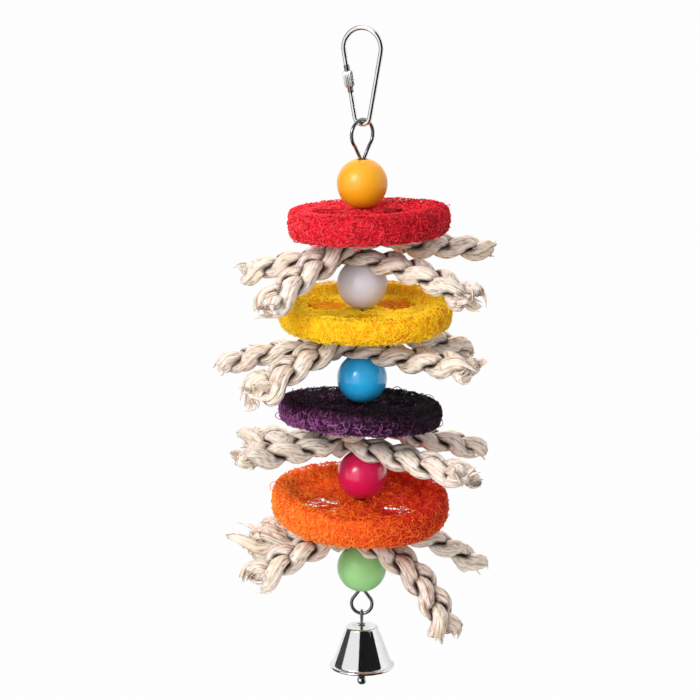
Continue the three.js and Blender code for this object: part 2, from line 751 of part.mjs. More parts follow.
const bell = new THREE.Group();
bell.position.z = eyeFoot;
bell.rotation.z = FOOT_EYE_TURN;
piece(bell, 'bell_shell', bellShell(), METALS.bell);
piece(bell, 'bell_hanger', bellHanger(), METALS.wire);
piece(bell, 'bell_clapper', bellClapper(), METALS.bell);
toy.add(bell);

export default toy;
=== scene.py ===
"""Looks of the loofah bird toy.

Smooth bent metal, painted wooden beads, fibrous loofah slices and plaited husk braids, built round the
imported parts.
"""

import json
from bisect import bisect
from collections import namedtuple
from contextlib import contextmanager
from math import acos, asin, atan2, ceil, cos, hypot, pi, radians, sin, tau
from random import Random

import bmesh
import bpy
from bpy.props import FloatProperty, FloatVectorProperty, IntProperty, PointerProperty
from bpy.types import Operator, Panel, PropertyGroup
from mathutils import Euler, Matrix, Vector, noise


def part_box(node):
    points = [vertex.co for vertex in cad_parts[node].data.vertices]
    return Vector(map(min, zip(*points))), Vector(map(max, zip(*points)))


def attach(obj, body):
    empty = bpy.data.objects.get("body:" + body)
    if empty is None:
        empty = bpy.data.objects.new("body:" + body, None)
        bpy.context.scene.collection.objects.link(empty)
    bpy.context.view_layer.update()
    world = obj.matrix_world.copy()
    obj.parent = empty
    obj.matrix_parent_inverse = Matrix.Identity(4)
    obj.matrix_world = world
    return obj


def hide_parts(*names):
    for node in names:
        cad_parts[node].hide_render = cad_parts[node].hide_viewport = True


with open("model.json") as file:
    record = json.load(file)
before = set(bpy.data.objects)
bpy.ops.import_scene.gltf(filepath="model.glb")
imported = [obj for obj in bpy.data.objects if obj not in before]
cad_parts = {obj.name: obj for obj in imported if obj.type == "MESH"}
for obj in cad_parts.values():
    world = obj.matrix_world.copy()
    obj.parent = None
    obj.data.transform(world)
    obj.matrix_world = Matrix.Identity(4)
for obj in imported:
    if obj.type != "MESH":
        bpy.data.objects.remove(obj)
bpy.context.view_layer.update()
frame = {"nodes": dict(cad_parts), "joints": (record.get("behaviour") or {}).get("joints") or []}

bl_info = {
    "name": "Loofah Bird Toy",
    "version": (1, 0, 0),
    "blender": (4, 5, 0),
    "location": "View3D > Sidebar > Bird Toy",
    "description": "Dresses the packed parts of a hanging loofah bird toy",
    "category": "Object",
}

MM = 0.001
JOINTS = {joint["name"]: joint for joint in frame["joints"]}


def srgb(red, green, blue):
    """A colour as it looks on screen, as the linear values that shaders use."""
    return tuple(c / 12.92 if c <= 0.04045 else ((c + 0.055) / 1.055) ** 2.4 for c in (red, green, blue))


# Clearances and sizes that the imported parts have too, in metres

SEAT_GAP = 0.3 * MM
LINK_ROD = 2 * MM
LINK_INSIDE_LENGTH = 35.6 * MM
LINK_TOP_RADIUS = 8 * MM
LINK_FOOT_RADIUS = 3.2 * MM
LINK_GAP = 3.8 * MM
SLEEVE_LENGTH = 6.5 * MM
SLEEVE_ACROSS_FLATS = 4 * MM
SLEEVE_FALL = 10.9 * MM
SLEEVE_BORE = 1.3 * MM
WIRE_D = 1.4 * MM
STRAND_SPACE = 0.5 * MM
WIRE_TAIL = 7 * MM
WIRE_EASE = 6 * MM
TOP_EYE_LENGTH = 16.1 * MM
TOP_EYE_RADIUS = 5.9 * MM
TOP_EYE_TURN = radians(45)
FOOT_EYE_LENGTH = 10.6 * MM
FOOT_EYE_RADIUS = 4.2 * MM
BEAD_BORE = 2.05 * MM
HUB_WIDTH = 15 * MM
CHAMBERS = 3
BRAID_WIDTH = 13.6 * MM
BRAID_THICKNESS = 8.2 * MM
BRAID_PRESSED_REACH = 13 * MM
BRAID_SWELL = 10 * MM
BRAID_DROOP = 1.5 * MM
BRAID_DROOP_REACH = 26 * MM
BRAID_DIP_EASE = 8 * MM
BRAID_HEADING_EASE = 12 * MM
STRANDS = 3
BELL_CROWN_D = 13.4 * MM
BELL_MOUTH_D = 26.6 * MM
BELL_HEIGHT = 17.2 * MM
BELL_WALL = 0.8 * MM
BELL_SHOULDER = 1.2 * MM
BELL_LIP_HEIGHT = 2.4 * MM
BELL_LIP_FLARE = 1.5 * MM
HANGER_WIRE = 1 * MM
HANGER_DROP = 5 * MM
HANGER_STRAND_SPACE = 0.3 * MM
HANGER_FOOT = 2.4 * MM
HOOK_DROP = 5.4 * MM
HOOK_RADIUS = 1.5 * MM
CLAPPER_WIRE = 1.1 * MM
CLAPPER_RING = 1.5 * MM
CLAPPER_BALL_D = 4 * MM
CLAPPER_LENGTH = 19.8 * MM

BEADS = ("yellow", "white", "blue", "magenta", "green")
GLOSSY_BEADS = ("blue", "magenta")

# Slices: where the seed chambers lie, to what thickness the braids are pressed below, how coarse and loose
# the fibres are, how many stray fibres stand out, how much paler the left side is than the right (partly
# thinner dye, partly painted light on the left and painted shade on the right), how much painted shade
# darkens the faces that look up (painted light where it is below zero), and the colours at the darker and the
# paler end, where the dye pools and where it runs thinner, which the painted shade and light also use
Slice = namedtuple("Slice", "turn press coarse loose strays lean crown pooled thin")
SLICES = {
    "red": Slice(
        *(radians(20), 4.1 * MM, 0.9, 0.7, 60, 0.25, 0.15),
        pooled=srgb(0.52, 0.03, 0.07),
        thin=srgb(0.97, 0.3, 0.34),
    ),
    "yellow": Slice(
        *(radians(92), 5.3 * MM, 0.9, 0.8, 80, 0.1, -0.35),
        pooled=srgb(0.92, 0.52, 0.03),
        thin=srgb(1.0, 0.88, 0.2),
    ),
    "purple": Slice(
        *(radians(65), 5.1 * MM, 1.0, 0.9, 90, 0.4, 1.0),
        pooled=srgb(0.05, 0.025, 0.05),
        thin=srgb(0.66, 0.38, 0.62),
    ),
    "orange": Slice(
        *(radians(20), 4.5 * MM, 1.0, 0.9, 120, 0.5, 0.4),
        pooled=srgb(0.8, 0.12, 0.06),
        thin=srgb(1.0, 0.6, 0.22),
    ),
}

# Each braid: the hand of its plait, of each arm the length in millimetres, the heading about Z, the slope at
# which it leaves the slice and the slope of its tip in degrees, and how far its left end has come apart
Braid = namedtuple("Braid", "lay left right bush", defaults=(1.0,))
BRAIDS = {
    "red_upper": Braid(-1, (56, 225, 3, 36), (59, 30, 1, 12)),
    "red_lower": Braid(-1, (55, 150, 1, 19), (55, -38, 3, 23)),
    "yellow_upper": Braid(-1, (58, 218, 5, 30), (51, 29, 1, 26), bush=1.5),
    "yellow_lower": Braid(-1, (62, 158, 1, 21), (50, -36, 1, 0)),
    "purple_upper": Braid(1, (54, 214, 10, 0), (54, 24, 3, 19)),
    "purple_lower": Braid(1, (56, 147, 6, 2), (53, -39, 4, 5)),
    "orange_upper": Braid(-1, (54, 216, 1, 24), (59, 23, 1, 43)),
    "orange_lower": Braid(1, (54, 154, 1, 18), (58, -30, 1, 74), bush=2.4),
}


# Settings


def colour_setting(name, description, *colour):
    return FloatVectorProperty(name=name, description=description, subtype="COLOR", default=srgb(*colour))


def length_setting(name, description, default):
    return FloatProperty(name=name, description=description, unit="LENGTH", default=default)


def power_setting(name, description, default):
    return FloatProperty(name=name, description=description, unit="POWER", default=default)


def count_setting(name, description, default, least):
    return IntProperty(name=name, description=description, default=default, min=least)


class ToyMetalSettings(PropertyGroup):
    """Bent rod and wire"""

    steel: colour_setting("Steel", "Colour of the plated rod", 0.94, 0.94, 0.93)
    # Painted shade: the wire is darker than the rod's steel, standing in for the dark that it mirrors
    wire: colour_setting("Wire", "Colour of the dull wire", 0.55, 0.55, 0.55)
    thread: colour_setting("Thread", "Colour of the oiled thread", 0.3, 0.3, 0.3)
    chrome: colour_setting("Chrome", "Colour of the bell's plating", 0.92, 0.92, 0.93)
    sides: count_setting("Sides", "Facets round a rod", 20, least=6)
    thread_pitch: length_setting("Thread Pitch", "Rise of one turn of the link's thread", 0.55 * MM)
    flutes: count_setting("Flutes", "Ribs round the sleeve nut", 18, least=6)


class ToyBeadSettings(PropertyGroup):
    """Painted wooden beads"""

    yellow: colour_setting("Yellow", "Paint of the top bead", 0.9, 0.62, 0.07)
    white: colour_setting("White", "Paint of the second bead", 0.81, 0.8, 0.84)
    blue: colour_setting("Blue", "Paint of the third bead", 0.16, 0.68, 0.92)
    magenta: colour_setting("Magenta", "Paint of the fourth bead", 0.83, 0.07, 0.32)
    green: colour_setting("Green", "Paint of the bottom bead", 0.57, 0.78, 0.5)
    bare_wood: colour_setting("Bare Wood", "Wood inside the bore", 0.72, 0.55, 0.37)
    sides: count_setting("Sides", "Facets round a bead", 80, least=16)
    rim: length_setting("Rim", "Rounding of the bore's edge", 0.5 * MM)


class ToyLoofahSettings(PropertyGroup):
    """Dyed loofah slices"""

    red: colour_setting("Red", "Dye of the top slice", 0.9, 0.08, 0.17)
    yellow: colour_setting("Yellow", "Dye of the second slice", 1.0, 0.82, 0.05)
    purple: colour_setting("Purple", "Dye of the third slice", 0.25, 0.08, 0.22)
    orange: colour_setting("Orange", "Dye of the bottom slice", 0.98, 0.42, 0.1)
    voxel: length_setting("Voxel", "Grain of the packed core", 0.75 * MM)
    sink: length_setting("Sink", "Depth of the core under the fibres", 0.7 * MM)
    fibres: count_setting("Fibres", "Fibres on each slice", 10800, least=100)
    length: length_setting("Length", "Usual length of a fibre", 1.8 * MM)
    thickness: length_setting("Thickness", "Usual thickness of a fibre", 0.32 * MM)
    lift: length_setting("Lift", "How far a fibre bows from the core", 0.6 * MM)


class ToyBraidSettings(PropertyGroup):
    """Plaited husk braids"""

    pale: colour_setting("Pale Husk", "Lightest husk", 0.91, 0.86, 0.82)
    pink: colour_setting("Pink Husk", "Husk that has dried pink", 0.86, 0.77, 0.72)
    green: colour_setting("Green Husk", "Husk that has dried green", 0.84, 0.79, 0.69)
    tan: colour_setting("Tan Husk", "Darker husk", 0.62, 0.45, 0.34)
    # Painted shade: the dark brown laid in the creases between strands and along the plies
    fold: colour_setting("Fold Shade", "Husk in the folds", 0.18, 0.06, 0.02)
    strand_width: length_setting("Strand Width", "Across a strand in the plait's middle", 8.6 * MM)
    strand_thickness: length_setting("Strand Thickness", "Through a strand", 5.6 * MM)
    plump: FloatProperty(
        name="Plump",
        description="How much rounder a strand is at the plait's edges",
        default=0.24,
        min=0,
        max=0.5,
    )
    ribs: count_setting("Ribs", "Lengthwise ribs round a strand", 11, least=3)
    sides: count_setting("Sides", "Facets round a strand", 44, least=12)
    step: length_setting("Step", "Length between rings", 1.0 * MM)
    strips: count_setting("Strips", "Strips of husk at each cut end of a strand", 4, least=0)
    strip_length: length_setting("Strip Length", "Usual length of the strips", 9 * MM)
    strip_width: length_setting("Strip Width", "Usual width of the strips", 4.4 * MM)
    frays: count_setting("Frays", "Fine fibres at each cut end of a strand", 1, least=0)
    fray_length: length_setting("Fray Length", "Length of the fine fibres", 6 * MM)


class ToyStageSettings(PropertyGroup):
    """Floor, light and camera"""

    floor_drop: length_setting("Floor Drop", "Floor below the hang point", 0.9)
    floor: colour_setting("Floor", "Colour of the floor", 0.97, 0.97, 0.97)
    key: power_setting("Key", "Power of the soft light on the left", 8.2)
    fill: power_setting("Fill", "Power of the soft light in front", 7.4)
    top: power_setting("Top", "Power of the soft light above", 3)
    back: power_setting("Back", "Power of the soft light behind", 26)
    sky: FloatProperty(name="Sky", description="Level of the light from all round", default=0.5)
    lens: FloatProperty(name="Lens", description="Focal length", unit="CAMERA", default=132.2)
    tilt: FloatProperty(
        name="Tilt", description="How far the camera looks down", subtype="ANGLE", default=radians(12.26)
    )
    camera: FloatVectorProperty(
        name="Camera",
        description="Place of the camera",
        subtype="TRANSLATION",
        unit="LENGTH",
        default=(-4.8 * MM, -1.0, 90.4 * MM),
    )


# Shader nodes


def add(tree, kind, inputs=(), **options):
    """A node with its options set, and each input linked to a socket or given a value."""
    made = tree.nodes.new(kind)
    for name, value in options.items():
        setattr(made, name, value)
    for name, value in dict(inputs).items():
        if isinstance(value, bpy.types.NodeSocket):
            tree.links.new(value, made.inputs[name])
        else:
            made.inputs[name].default_value = value
    return made


def maths(tree, operation, first, second):
    """What comes of two values, as a socket."""
    return add(tree, "ShaderNodeMath", {0: first, 1: second}, operation=operation).outputs[0]


def ranged(tree, value, low=0.0, high=1.0, start=0.0, end=1.0):
    """A value from start to end, moved to lie from low to high."""
    inputs = {"Value": value, "From Min": start, "From Max": end, "To Min": low, "To Max": high}
    return add(tree, "ShaderNodeMapRange", inputs).outputs["Result"]


def clouds(tree, place, scale, detail):
    """Noise, as a socket."""
    return add(tree, "ShaderNodeTexNoise", {"Vector": place, "Scale": scale, "Detail": detail}).outputs[0]


def lines(tree, place, scale, detail):
    """Noise with its own scale along each axis, which draws it out into lines."""
    stretched = add(tree, "ShaderNodeMapping", {"Vector": place, "Scale": scale})
    return clouds(tree, stretched.outputs[0], 1.0, detail)


def opaque(colour):
    return (*colour, 1.0)


def blend_colours(tree, factor, low, high):
    """The colour between two others, as a socket."""
    return add(tree, "ShaderNodeMix", {0: factor, 6: low, 7: high}, data_type="RGBA").outputs[2]


def shader_group(name, inputs, outputs):
    """An empty shader group with named sockets, as (tree, what it is given, what it puts out)."""
    tree = bpy.data.node_groups.new(name, "ShaderNodeTree")
    for way, sockets in (("INPUT", inputs), ("OUTPUT", outputs)):
        for socket, kind in sockets.items():
            tree.interface.new_socket(socket, in_out=way, socket_type=f"NodeSocket{kind}")
    return tree, tree.nodes.new("NodeGroupInput").outputs, tree.nodes.new("NodeGroupOutput").inputs


PATCH_SCALE = 300.0
PATCH_DETAIL = 3.0
DARK_UP_TO = (0.35, 0.95)
LIGHT_FROM = (1.0, 1.6)


def fibre_tint_group():
    """Colour of a mass of fibres: each has its own tint, and the dye pools in patches; the tint that a slice
    gives it also carries painted shade and painted light.
    """
    tree, given, result = shader_group(
        "Fibre tint",
        {"Vector": "Vector", "Tint": "Float", "Dark": "Color", "Middle": "Color", "Light": "Color"},
        {"Color": "Color", "Height": "Float"},
    )
    patches = clouds(tree, given["Vector"], PATCH_SCALE, PATCH_DETAIL)
    mixed = maths(tree, "ADD", given["Tint"], patches)
    low, high = (ranged(tree, mixed, start=start, end=end) for start, end in (DARK_UP_TO, LIGHT_FROM))
    base = blend_colours(tree, low, given["Dark"], given["Middle"])
    tree.links.new(blend_colours(tree, high, base, given["Light"]), result["Color"])
    tree.links.new(patches, result["Height"])
    return tree


# Films over a surface: scale and detail of their clouds and of their lines, range of the shade and of the
# change in roughness, and whether the lines show as wood grain under paint does
Film = namedtuple("Film", "clouds lines shade wear grained")
FILMS = {
    "Paint film": Film((160.0, 4.0), ((900.0, 900.0, 90.0), 3.0), (0.9, 1.08), (-0.05, 0.05), True),
    "Plating": Film((260.0, 5.0), ((2600.0, 2600.0, 240.0), 2.0), (0.9, 1.04), (-0.05, 0.07), False),
}


def film_group(name):
    """Uneven paint over faint wood grain, or bright plating with fine draw lines and faint smudges."""
    film = FILMS[name]
    tree, given, result = shader_group(
        name,
        {"Vector": "Vector", "Base": "Color", "Roughness": "Float"},
        {"Color": "Color", "Roughness": "Float", "Height": "Float"},
    )
    cloud = clouds(tree, given["Vector"], *film.clouds)
    line = lines(tree, given["Vector"], *film.lines)
    shade = ranged(tree, cloud, *film.shade)
    shaded = add(tree, "ShaderNodeHueSaturation", {"Color": given["Base"], "Value": shade})
    wear = ranged(tree, line if film.grained else cloud, *film.wear)
    tree.links.new(shaded.outputs[0], result["Color"])
    tree.links.new(maths(tree, "ADD", given["Roughness"], wear), result["Roughness"])
    tree.links.new(maths(tree, "ADD", cloud, line) if film.grained else line, result["Height"])
    return tree


def shared(name, build):
    """A node group that is built once and then used again."""
    return bpy.data.node_groups.get(name) or build()


def new_material(name):
    """A material with an empty Principled shader, as (material, tree, shader, object coordinates)."""
    material = bpy.data.materials.new(name)
    material.use_nodes = True
    tree = material.node_tree
    shader = tree.nodes["Principled BSDF"]
    return material, tree, shader, tree.nodes.new("ShaderNodeTexCoord").outputs["Object"]


def bump(tree, shader, height, distance):
    made = add(tree, "ShaderNodeBump", {"Height": height, "Distance": distance, "Strength": 1.0})
    tree.links.new(made.outputs[0], shader.inputs["Normal"])


def use_group(tree, group, inputs):
    """The outputs of a shader group that is fed with these inputs."""
    return add(tree, "ShaderNodeGroup", inputs, node_tree=group).outputs


def attribute(tree, name, output="Fac"):
    return add(tree, "ShaderNodeAttribute", attribute_name=name).outputs[output]


def filmed(name, film, colour, roughness, relief):
    """A material under a film of paint or plating, as (material, shader)."""
    material, tree, shader, place = new_material(name)
    group = shared(film, lambda: film_group(film))
    made = use_group(tree, group, {"Vector": place, "Base": opaque(colour), "Roughness": roughness})
    tree.links.new(made["Color"], shader.inputs["Base Color"])
    tree.links.new(made["Roughness"], shader.inputs["Roughness"])
    bump(tree, shader, made["Height"], relief)
    return material, shader


PLATING_RELIEF = 0.004 * MM
PAINT_RELIEF = 0.02 * MM
COAT_ROUGHNESS = 0.06


def plated(name, colour, roughness):
    material, shader = filmed(name, "Plating", colour, roughness, PLATING_RELIEF)
    shader.inputs["Metallic"].default_value = 1.0
    return material


def painted(name, colour, roughness, coat):
    material, shader = filmed(name, "Paint film", colour, roughness, PAINT_RELIEF)
    shader.inputs["Coat Weight"].default_value = coat
    shader.inputs["Coat Roughness"].default_value = COAT_ROUGHNESS
    return material


WOOD_GRAIN = (700.0, 700.0, 80.0)
WOOD_RELIEF = 0.05 * MM
WOOD_SHADE = 0.55


def wooden(name, colour):
    material, tree, shader, place = new_material(name)
    grain = lines(tree, place, WOOD_GRAIN, 4.0)
    dark = opaque(tuple(WOOD_SHADE * c for c in colour))
    tree.links.new(blend_colours(tree, grain, dark, opaque(colour)), shader.inputs["Base Color"])
    shader.inputs["Roughness"].default_value = 0.7
    bump(tree, shader, grain, WOOD_RELIEF)
    return material


SIDE_SHADE_REACH = 30 * MM
CORE_TINT = 0.2
FIBRE_RELIEF = 0.1 * MM


def dyed(name, colour, dark, light, lean, tinted):
    """Dyed loofah: each fibre has its own tint, the core below has one even tint, and the left side is paler
    than the right, partly thinner dye and partly painted light and shade.
    """
    material, tree, shader, place = new_material(name)
    # Painted light and shade: the tint rises to the left and falls to the right, partly uneven dye, partly
    # the light from the left
    aside = add(tree, "ShaderNodeSeparateXYZ", {"Vector": place}).outputs["X"]
    side = ranged(tree, aside, lean, -lean, -SIDE_SHADE_REACH, SIDE_SHADE_REACH)
    own = attribute(tree, "tint") if tinted else CORE_TINT
    values = {
        "Vector": place,
        "Tint": maths(tree, "ADD", side, own),
        "Dark": opaque(dark),
        "Middle": opaque(colour),
        "Light": opaque(light),
    }
    fibres = use_group(tree, shared("Fibre tint", fibre_tint_group), values)
    tree.links.new(fibres["Color"], shader.inputs["Base Color"])
    shader.inputs["Roughness"].default_value = 0.6
    shader.inputs["Specular IOR Level"].default_value = 0.25
    bump(tree, shader, fibres["Height"], FIBRE_RELIEF)
    return material


HUSK_SPREAD = (-0.2, 0.25)
HUSK_STREAK = (0.34, 0.62)
HUSK_KIND = (0.4, 0.6)
HUSK_KIND_SCALE = 0.16
HUSK_RELIEF = 0.3 * MM


def husk_material(name, settings):
    """Dry husk: lengthwise streaks along the strand, with painted shade in the creases between strands and
    along its plies.
    """
    material, tree, shader, place = new_material(name)
    grain = attribute(tree, "grain", "Vector")
    streaks = clouds(tree, grain, 1.0, 4.0)
    streaked = ranged(tree, streaks, start=HUSK_STREAK[0], end=HUSK_STREAK[1])
    spread = ranged(tree, attribute(tree, "tint"), *HUSK_SPREAD)
    kind = clouds(tree, grain, HUSK_KIND_SCALE, 1.0)
    pinkness = ranged(tree, kind, start=HUSK_KIND[0], end=HUSK_KIND[1])
    values = {
        "Vector": place,
        "Tint": maths(tree, "ADD", streaked, spread),
        "Dark": opaque(settings.tan),
        "Middle": blend_colours(tree, pinkness, opaque(settings.green), opaque(settings.pink)),
        "Light": opaque(settings.pale),
    }
    husk = use_group(tree, shared("Fibre tint", fibre_tint_group), values)
    # Painted shade: the husk darkens towards the crease colour where the attribute marks a crease
    base = blend_colours(tree, attribute(tree, "fold"), husk["Color"], opaque(settings.fold))
    tree.links.new(base, shader.inputs["Base Color"])
    shader.inputs["Roughness"].default_value = 0.55
    bump(tree, shader, streaks, HUSK_RELIEF)
    return material


# Geometry node trees


class NodeTree:
    """A geometry node tree with named inputs, whose last node sets the material."""

    def __init__(self, name, inputs):
        self.tree = bpy.data.node_groups.new(name, "GeometryNodeTree")
        face = self.tree.interface
        face.new_socket("Geometry", in_out="INPUT", socket_type="NodeSocketGeometry")
        for socket, kind in inputs.items():
            face.new_socket(socket, in_out="INPUT", socket_type=f"NodeSocket{kind}")
        face.new_socket("Geometry", in_out="OUTPUT", socket_type="NodeSocketGeometry")
        self.given = self.tree.nodes.new("NodeGroupInput").outputs
        self.result = self.tree.nodes.new("NodeGroupOutput")

    def add(self, kind, inputs=(), **options):
        return add(self.tree, kind, inputs, **options)

    def times(self, value, factor):
        return maths(self.tree, "MULTIPLY", value, factor)

    def chance(self, kind, inputs, output):
        """A value drawn for each point, as a socket."""
        inputs = {**inputs, "Seed": self.given["Seed"]}
        return self.add("FunctionNodeRandomValue", inputs, data_type=kind).outputs[output]

    def end(self, geometry):
        whole = self.add("GeometryNodeRealizeInstances", {"Geometry": geometry})
        smooth = self.add("GeometryNodeSetShadeSmooth", {"Geometry": whole.outputs[0]})
        inputs = {"Geometry": smooth.outputs[0], "Material": self.given["Material"]}
        coloured = self.add("GeometryNodeSetMaterial", inputs)
        self.tree.links.new(coloured.outputs[0], self.result.inputs["Geometry"])
        return self.tree


def bent_wire_tree():
    """A round wire along every line of the mesh."""
    nodes = NodeTree("Bent wire", {"Radius": "Float", "Sides": "Int", "Material": "Material"})
    line = nodes.add("GeometryNodeMeshToCurve", {"Mesh": nodes.given["Geometry"]})
    inputs = {"Resolution": nodes.given["Sides"], "Radius": nodes.given["Radius"]}
    ring = nodes.add("GeometryNodeCurvePrimitiveCircle", inputs)
    inputs = {"Curve": line.outputs[0], "Profile Curve": ring.outputs[0], "Fill Caps": True}
    return nodes.end(nodes.add("GeometryNodeCurveToMesh", inputs).outputs[0])


# Fibres bow in three ways: where the middle lies along and aside, in lengths, and its rise in lifts
FIBRE_SHAPES = ((0.0, 0.25, 1.0), (-0.2, -0.3, 0.7), (0.25, 0.1, 1.4))
FIBRE_SIDES = 3
FIBRE_SPREAD = (0.65, 1.35)


def fibre_shapes(nodes):
    """The bowed fibres that are placed over a surface, as instances."""
    given = nodes.given
    radius = nodes.times(given["Thickness"], 0.5)
    inputs = {"Resolution": FIBRE_SIDES, "Radius": radius}
    ring = nodes.add("GeometryNodeCurvePrimitiveCircle", inputs).outputs[0]
    ends = [nodes.times(given["Length"], share) for share in (-0.5, 0.5)]
    start, end = (nodes.add("ShaderNodeCombineXYZ", {"X": along}).outputs[0] for along in ends)
    shapes = nodes.add("GeometryNodeGeometryToInstance")
    for along, aside, rise in FIBRE_SHAPES:
        place = {
            "X": nodes.times(given["Length"], along),
            "Y": nodes.times(given["Length"], aside),
            "Z": nodes.times(given["Lift"], 2 * rise),
        }
        middle = nodes.add("ShaderNodeCombineXYZ", place).outputs[0]
        bow = nodes.add(
            "GeometryNodeCurveQuadraticBezier",
            {"Resolution": given["Segments"], "Start": start, "Middle": middle, "End": end},
        )
        fibre = nodes.add("GeometryNodeCurveToMesh", {"Curve": bow.outputs[0], "Profile Curve": ring})
        nodes.tree.links.new(fibre.outputs[0], shapes.inputs[0])
    return shapes.outputs[0]


def fibres_tree():
    """Bowed fibres over a surface, each with its own turn, size and tint, the tint lowered on faces that look
    up as painted shade on the top.
    """
    sizes = dict.fromkeys(("Density", "Length", "Thickness", "Lift", "Crown"), "Float")
    turns = {"Turn Low": "Vector", "Turn High": "Vector"}
    kinds = {**sizes, "Segments": "Int", **turns, "Seed": "Int", "Material": "Material"}
    nodes = NodeTree("Surface fibres", kinds)
    given = nodes.given
    points = nodes.add(
        "GeometryNodeDistributePointsOnFaces",
        {"Mesh": given["Geometry"], "Density": given["Density"], "Seed": given["Seed"]},
    ).outputs
    turn = nodes.chance("FLOAT_VECTOR", {0: given["Turn Low"], 1: given["Turn High"]}, 0)
    turned = nodes.add(
        "FunctionNodeRotateRotation",
        {
            "Rotation": points["Rotation"],
            "Rotate By": nodes.add("FunctionNodeEulerToRotation", {0: turn}).outputs[0],
        },
        rotation_space="LOCAL",
    )
    spread = nodes.chance("FLOAT", {2: FIBRE_SPREAD[0], 3: FIBRE_SPREAD[1]}, 1)
    pick = nodes.chance("INT", {4: 0, 5: len(FIBRE_SHAPES) - 1}, 2)
    own = nodes.chance("FLOAT", {2: 0.0, 3: 1.0}, 1)
    # Painted shade on the top: the tint falls where the surface faces up, by the share given (painted light
    # where it is below zero)
    upward = nodes.add("FunctionNodeRotateVector", {"Vector": (0, 0, 1), "Rotation": points["Rotation"]})
    slope = nodes.add("ShaderNodeSeparateXYZ", {0: upward.outputs[0]}).outputs["Z"]
    top_shade = nodes.times(maths(nodes.tree, "MAXIMUM", slope, 0.0), given["Crown"])
    marked = nodes.add(
        "GeometryNodeStoreNamedAttribute",
        {"Geometry": points["Points"], "Name": "tint", "Value": maths(nodes.tree, "SUBTRACT", own, top_shade)},
        data_type="FLOAT",
        domain="POINT",
    )
    placed = nodes.add(
        "GeometryNodeInstanceOnPoints",
        {
            "Points": marked.outputs[0],
            "Instance": fibre_shapes(nodes),
            "Pick Instance": True,
            "Instance Index": pick,
            "Rotation": turned.outputs[0],
            "Scale": nodes.add("ShaderNodeCombineXYZ", {"X": spread, "Y": 1.0, "Z": spread}).outputs[0],
        },
    )
    return nodes.end(placed.outputs[0])


def put(name, data):
    """A new object in the scene."""
    made = bpy.data.objects.new(name, data)
    bpy.context.scene.collection.objects.link(made)
    return made


def baked(source):
    """The plain mesh that an object's modifiers make, in place of the object."""
    graph = bpy.context.evaluated_depsgraph_get()
    made = bpy.data.meshes.new_from_object(
        source.evaluated_get(graph), preserve_all_data_layers=True, depsgraph=graph
    )
    bpy.data.objects.remove(source)
    return made


def grown(name, mesh, tree, values):
    """The piece that a geometry node tree makes from a mesh."""
    source = put(f"{name}_source", mesh)
    modifier = source.modifiers.new(tree.name, "NODES")
    modifier.node_group = tree
    for socket in tree.interface.items_tree:
        if socket.in_out == "INPUT" and socket.name in values:
            modifier[socket.identifier] = values[socket.name]
    return new_piece(name, baked(source))


# Meshes


def new_piece(name, mesh):
    if not mesh.polygons:
        raise RuntimeError(f"{name} came out with no faces")
    mesh.name = name
    return put(name, mesh)


def seat(piece, body, slot, *nodes):
    """The piece moves with its body and stands for its nodes, which are hidden; its slot is not used."""
    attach(piece, body)
    if nodes:
        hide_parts(*nodes)


def mesh_of(name, points, faces=(), edges=()):
    mesh = bpy.data.meshes.new(name)
    mesh.from_pydata(points, edges, faces)
    return mesh


@contextmanager
def editing(mesh):
    """A mesh that is open for changes, and holds them afterwards."""
    work = bmesh.new()
    work.from_mesh(mesh)
    yield work
    work.to_mesh(mesh)
    work.free()


def lines_mesh(name, rows):
    """A mesh of open lines, each a row of points."""
    points = []
    edges = []
    for row in rows:
        first = len(points)
        points.extend(row)
        edges.extend((first + i, first + i + 1) for i in range(len(row) - 1))
    return mesh_of(name, points, edges=edges)


def outward(mesh, merge=1e-7):
    """Merges doubles and turns all faces outwards."""
    with editing(mesh) as work:
        bmesh.ops.remove_doubles(work, verts=work.verts, dist=merge)
        bmesh.ops.recalc_face_normals(work, faces=work.faces)
    mesh.shade_smooth()


def skin(name, rings, close_row=False):
    """A mesh over a row of closed rings of points, with caps on an open row."""
    sides = len(rings[0])
    faces = []
    rows = len(rings) if close_row else len(rings) - 1
    for row in range(rows):
        upper = ((row + 1) % len(rings)) * sides
        for i in range(sides):
            j = (i + 1) % sides
            faces.append((row * sides + i, row * sides + j, upper + j, upper + i))
    if not close_row:
        last = (len(rings) - 1) * sides
        faces.append(tuple(reversed(range(sides))))
        faces.append(tuple(range(last, last + sides)))
    return mesh_of(name, [point for ring in rings for point in ring], faces)


LUMP_SCALE = 180
LUMP_SHIFT = 900


def turned_mesh(name, profile, sides, centre, lumps=0.0):
    """A closed profile of (radius, height), turned about an upright axis through the centre."""
    rings = []
    for i in range(sides):
        angle = tau * i / sides
        ring = []
        for radius, height in profile:
            point = Vector((radius * cos(angle), radius * sin(angle), height))
            if lumps:
                point *= 1 + lumps * noise.noise(point * LUMP_SCALE + centre * LUMP_SHIFT)
            ring.append(centre + point)
        rings.append(ring)
    mesh = skin(name, rings, close_row=True)
    outward(mesh)
    return mesh


def arc(centre_x, centre_y, radius, start, end, steps):
    """Points of an arc from one angle to the other, both in radians."""
    angles = [start + (end - start) * i / steps for i in range(steps + 1)]
    return [(centre_x + radius * cos(a), centre_y + radius * sin(a)) for a in angles]


BEND_STEP = radians(5)


def bend(centre, radius, start, end):
    """An arc about a point on the axis, as (across, height)."""
    return arc(0, centre, radius, start, end, ceil(abs(end - start) / BEND_STEP))


def in_plane(outline, turn):
    """Points of (across, height) in an upright plane turned about Z."""
    return [Vector((across * cos(turn), across * sin(turn), height)) for across, height in outline]


def joint_at(name):
    return Vector(JOINTS[name]["pos_m"])


def joint_turn(name):
    """Turn about Z of a joint's level axis."""
    axis = JOINTS[name]["axis"]
    return atan2(axis[1], axis[0])


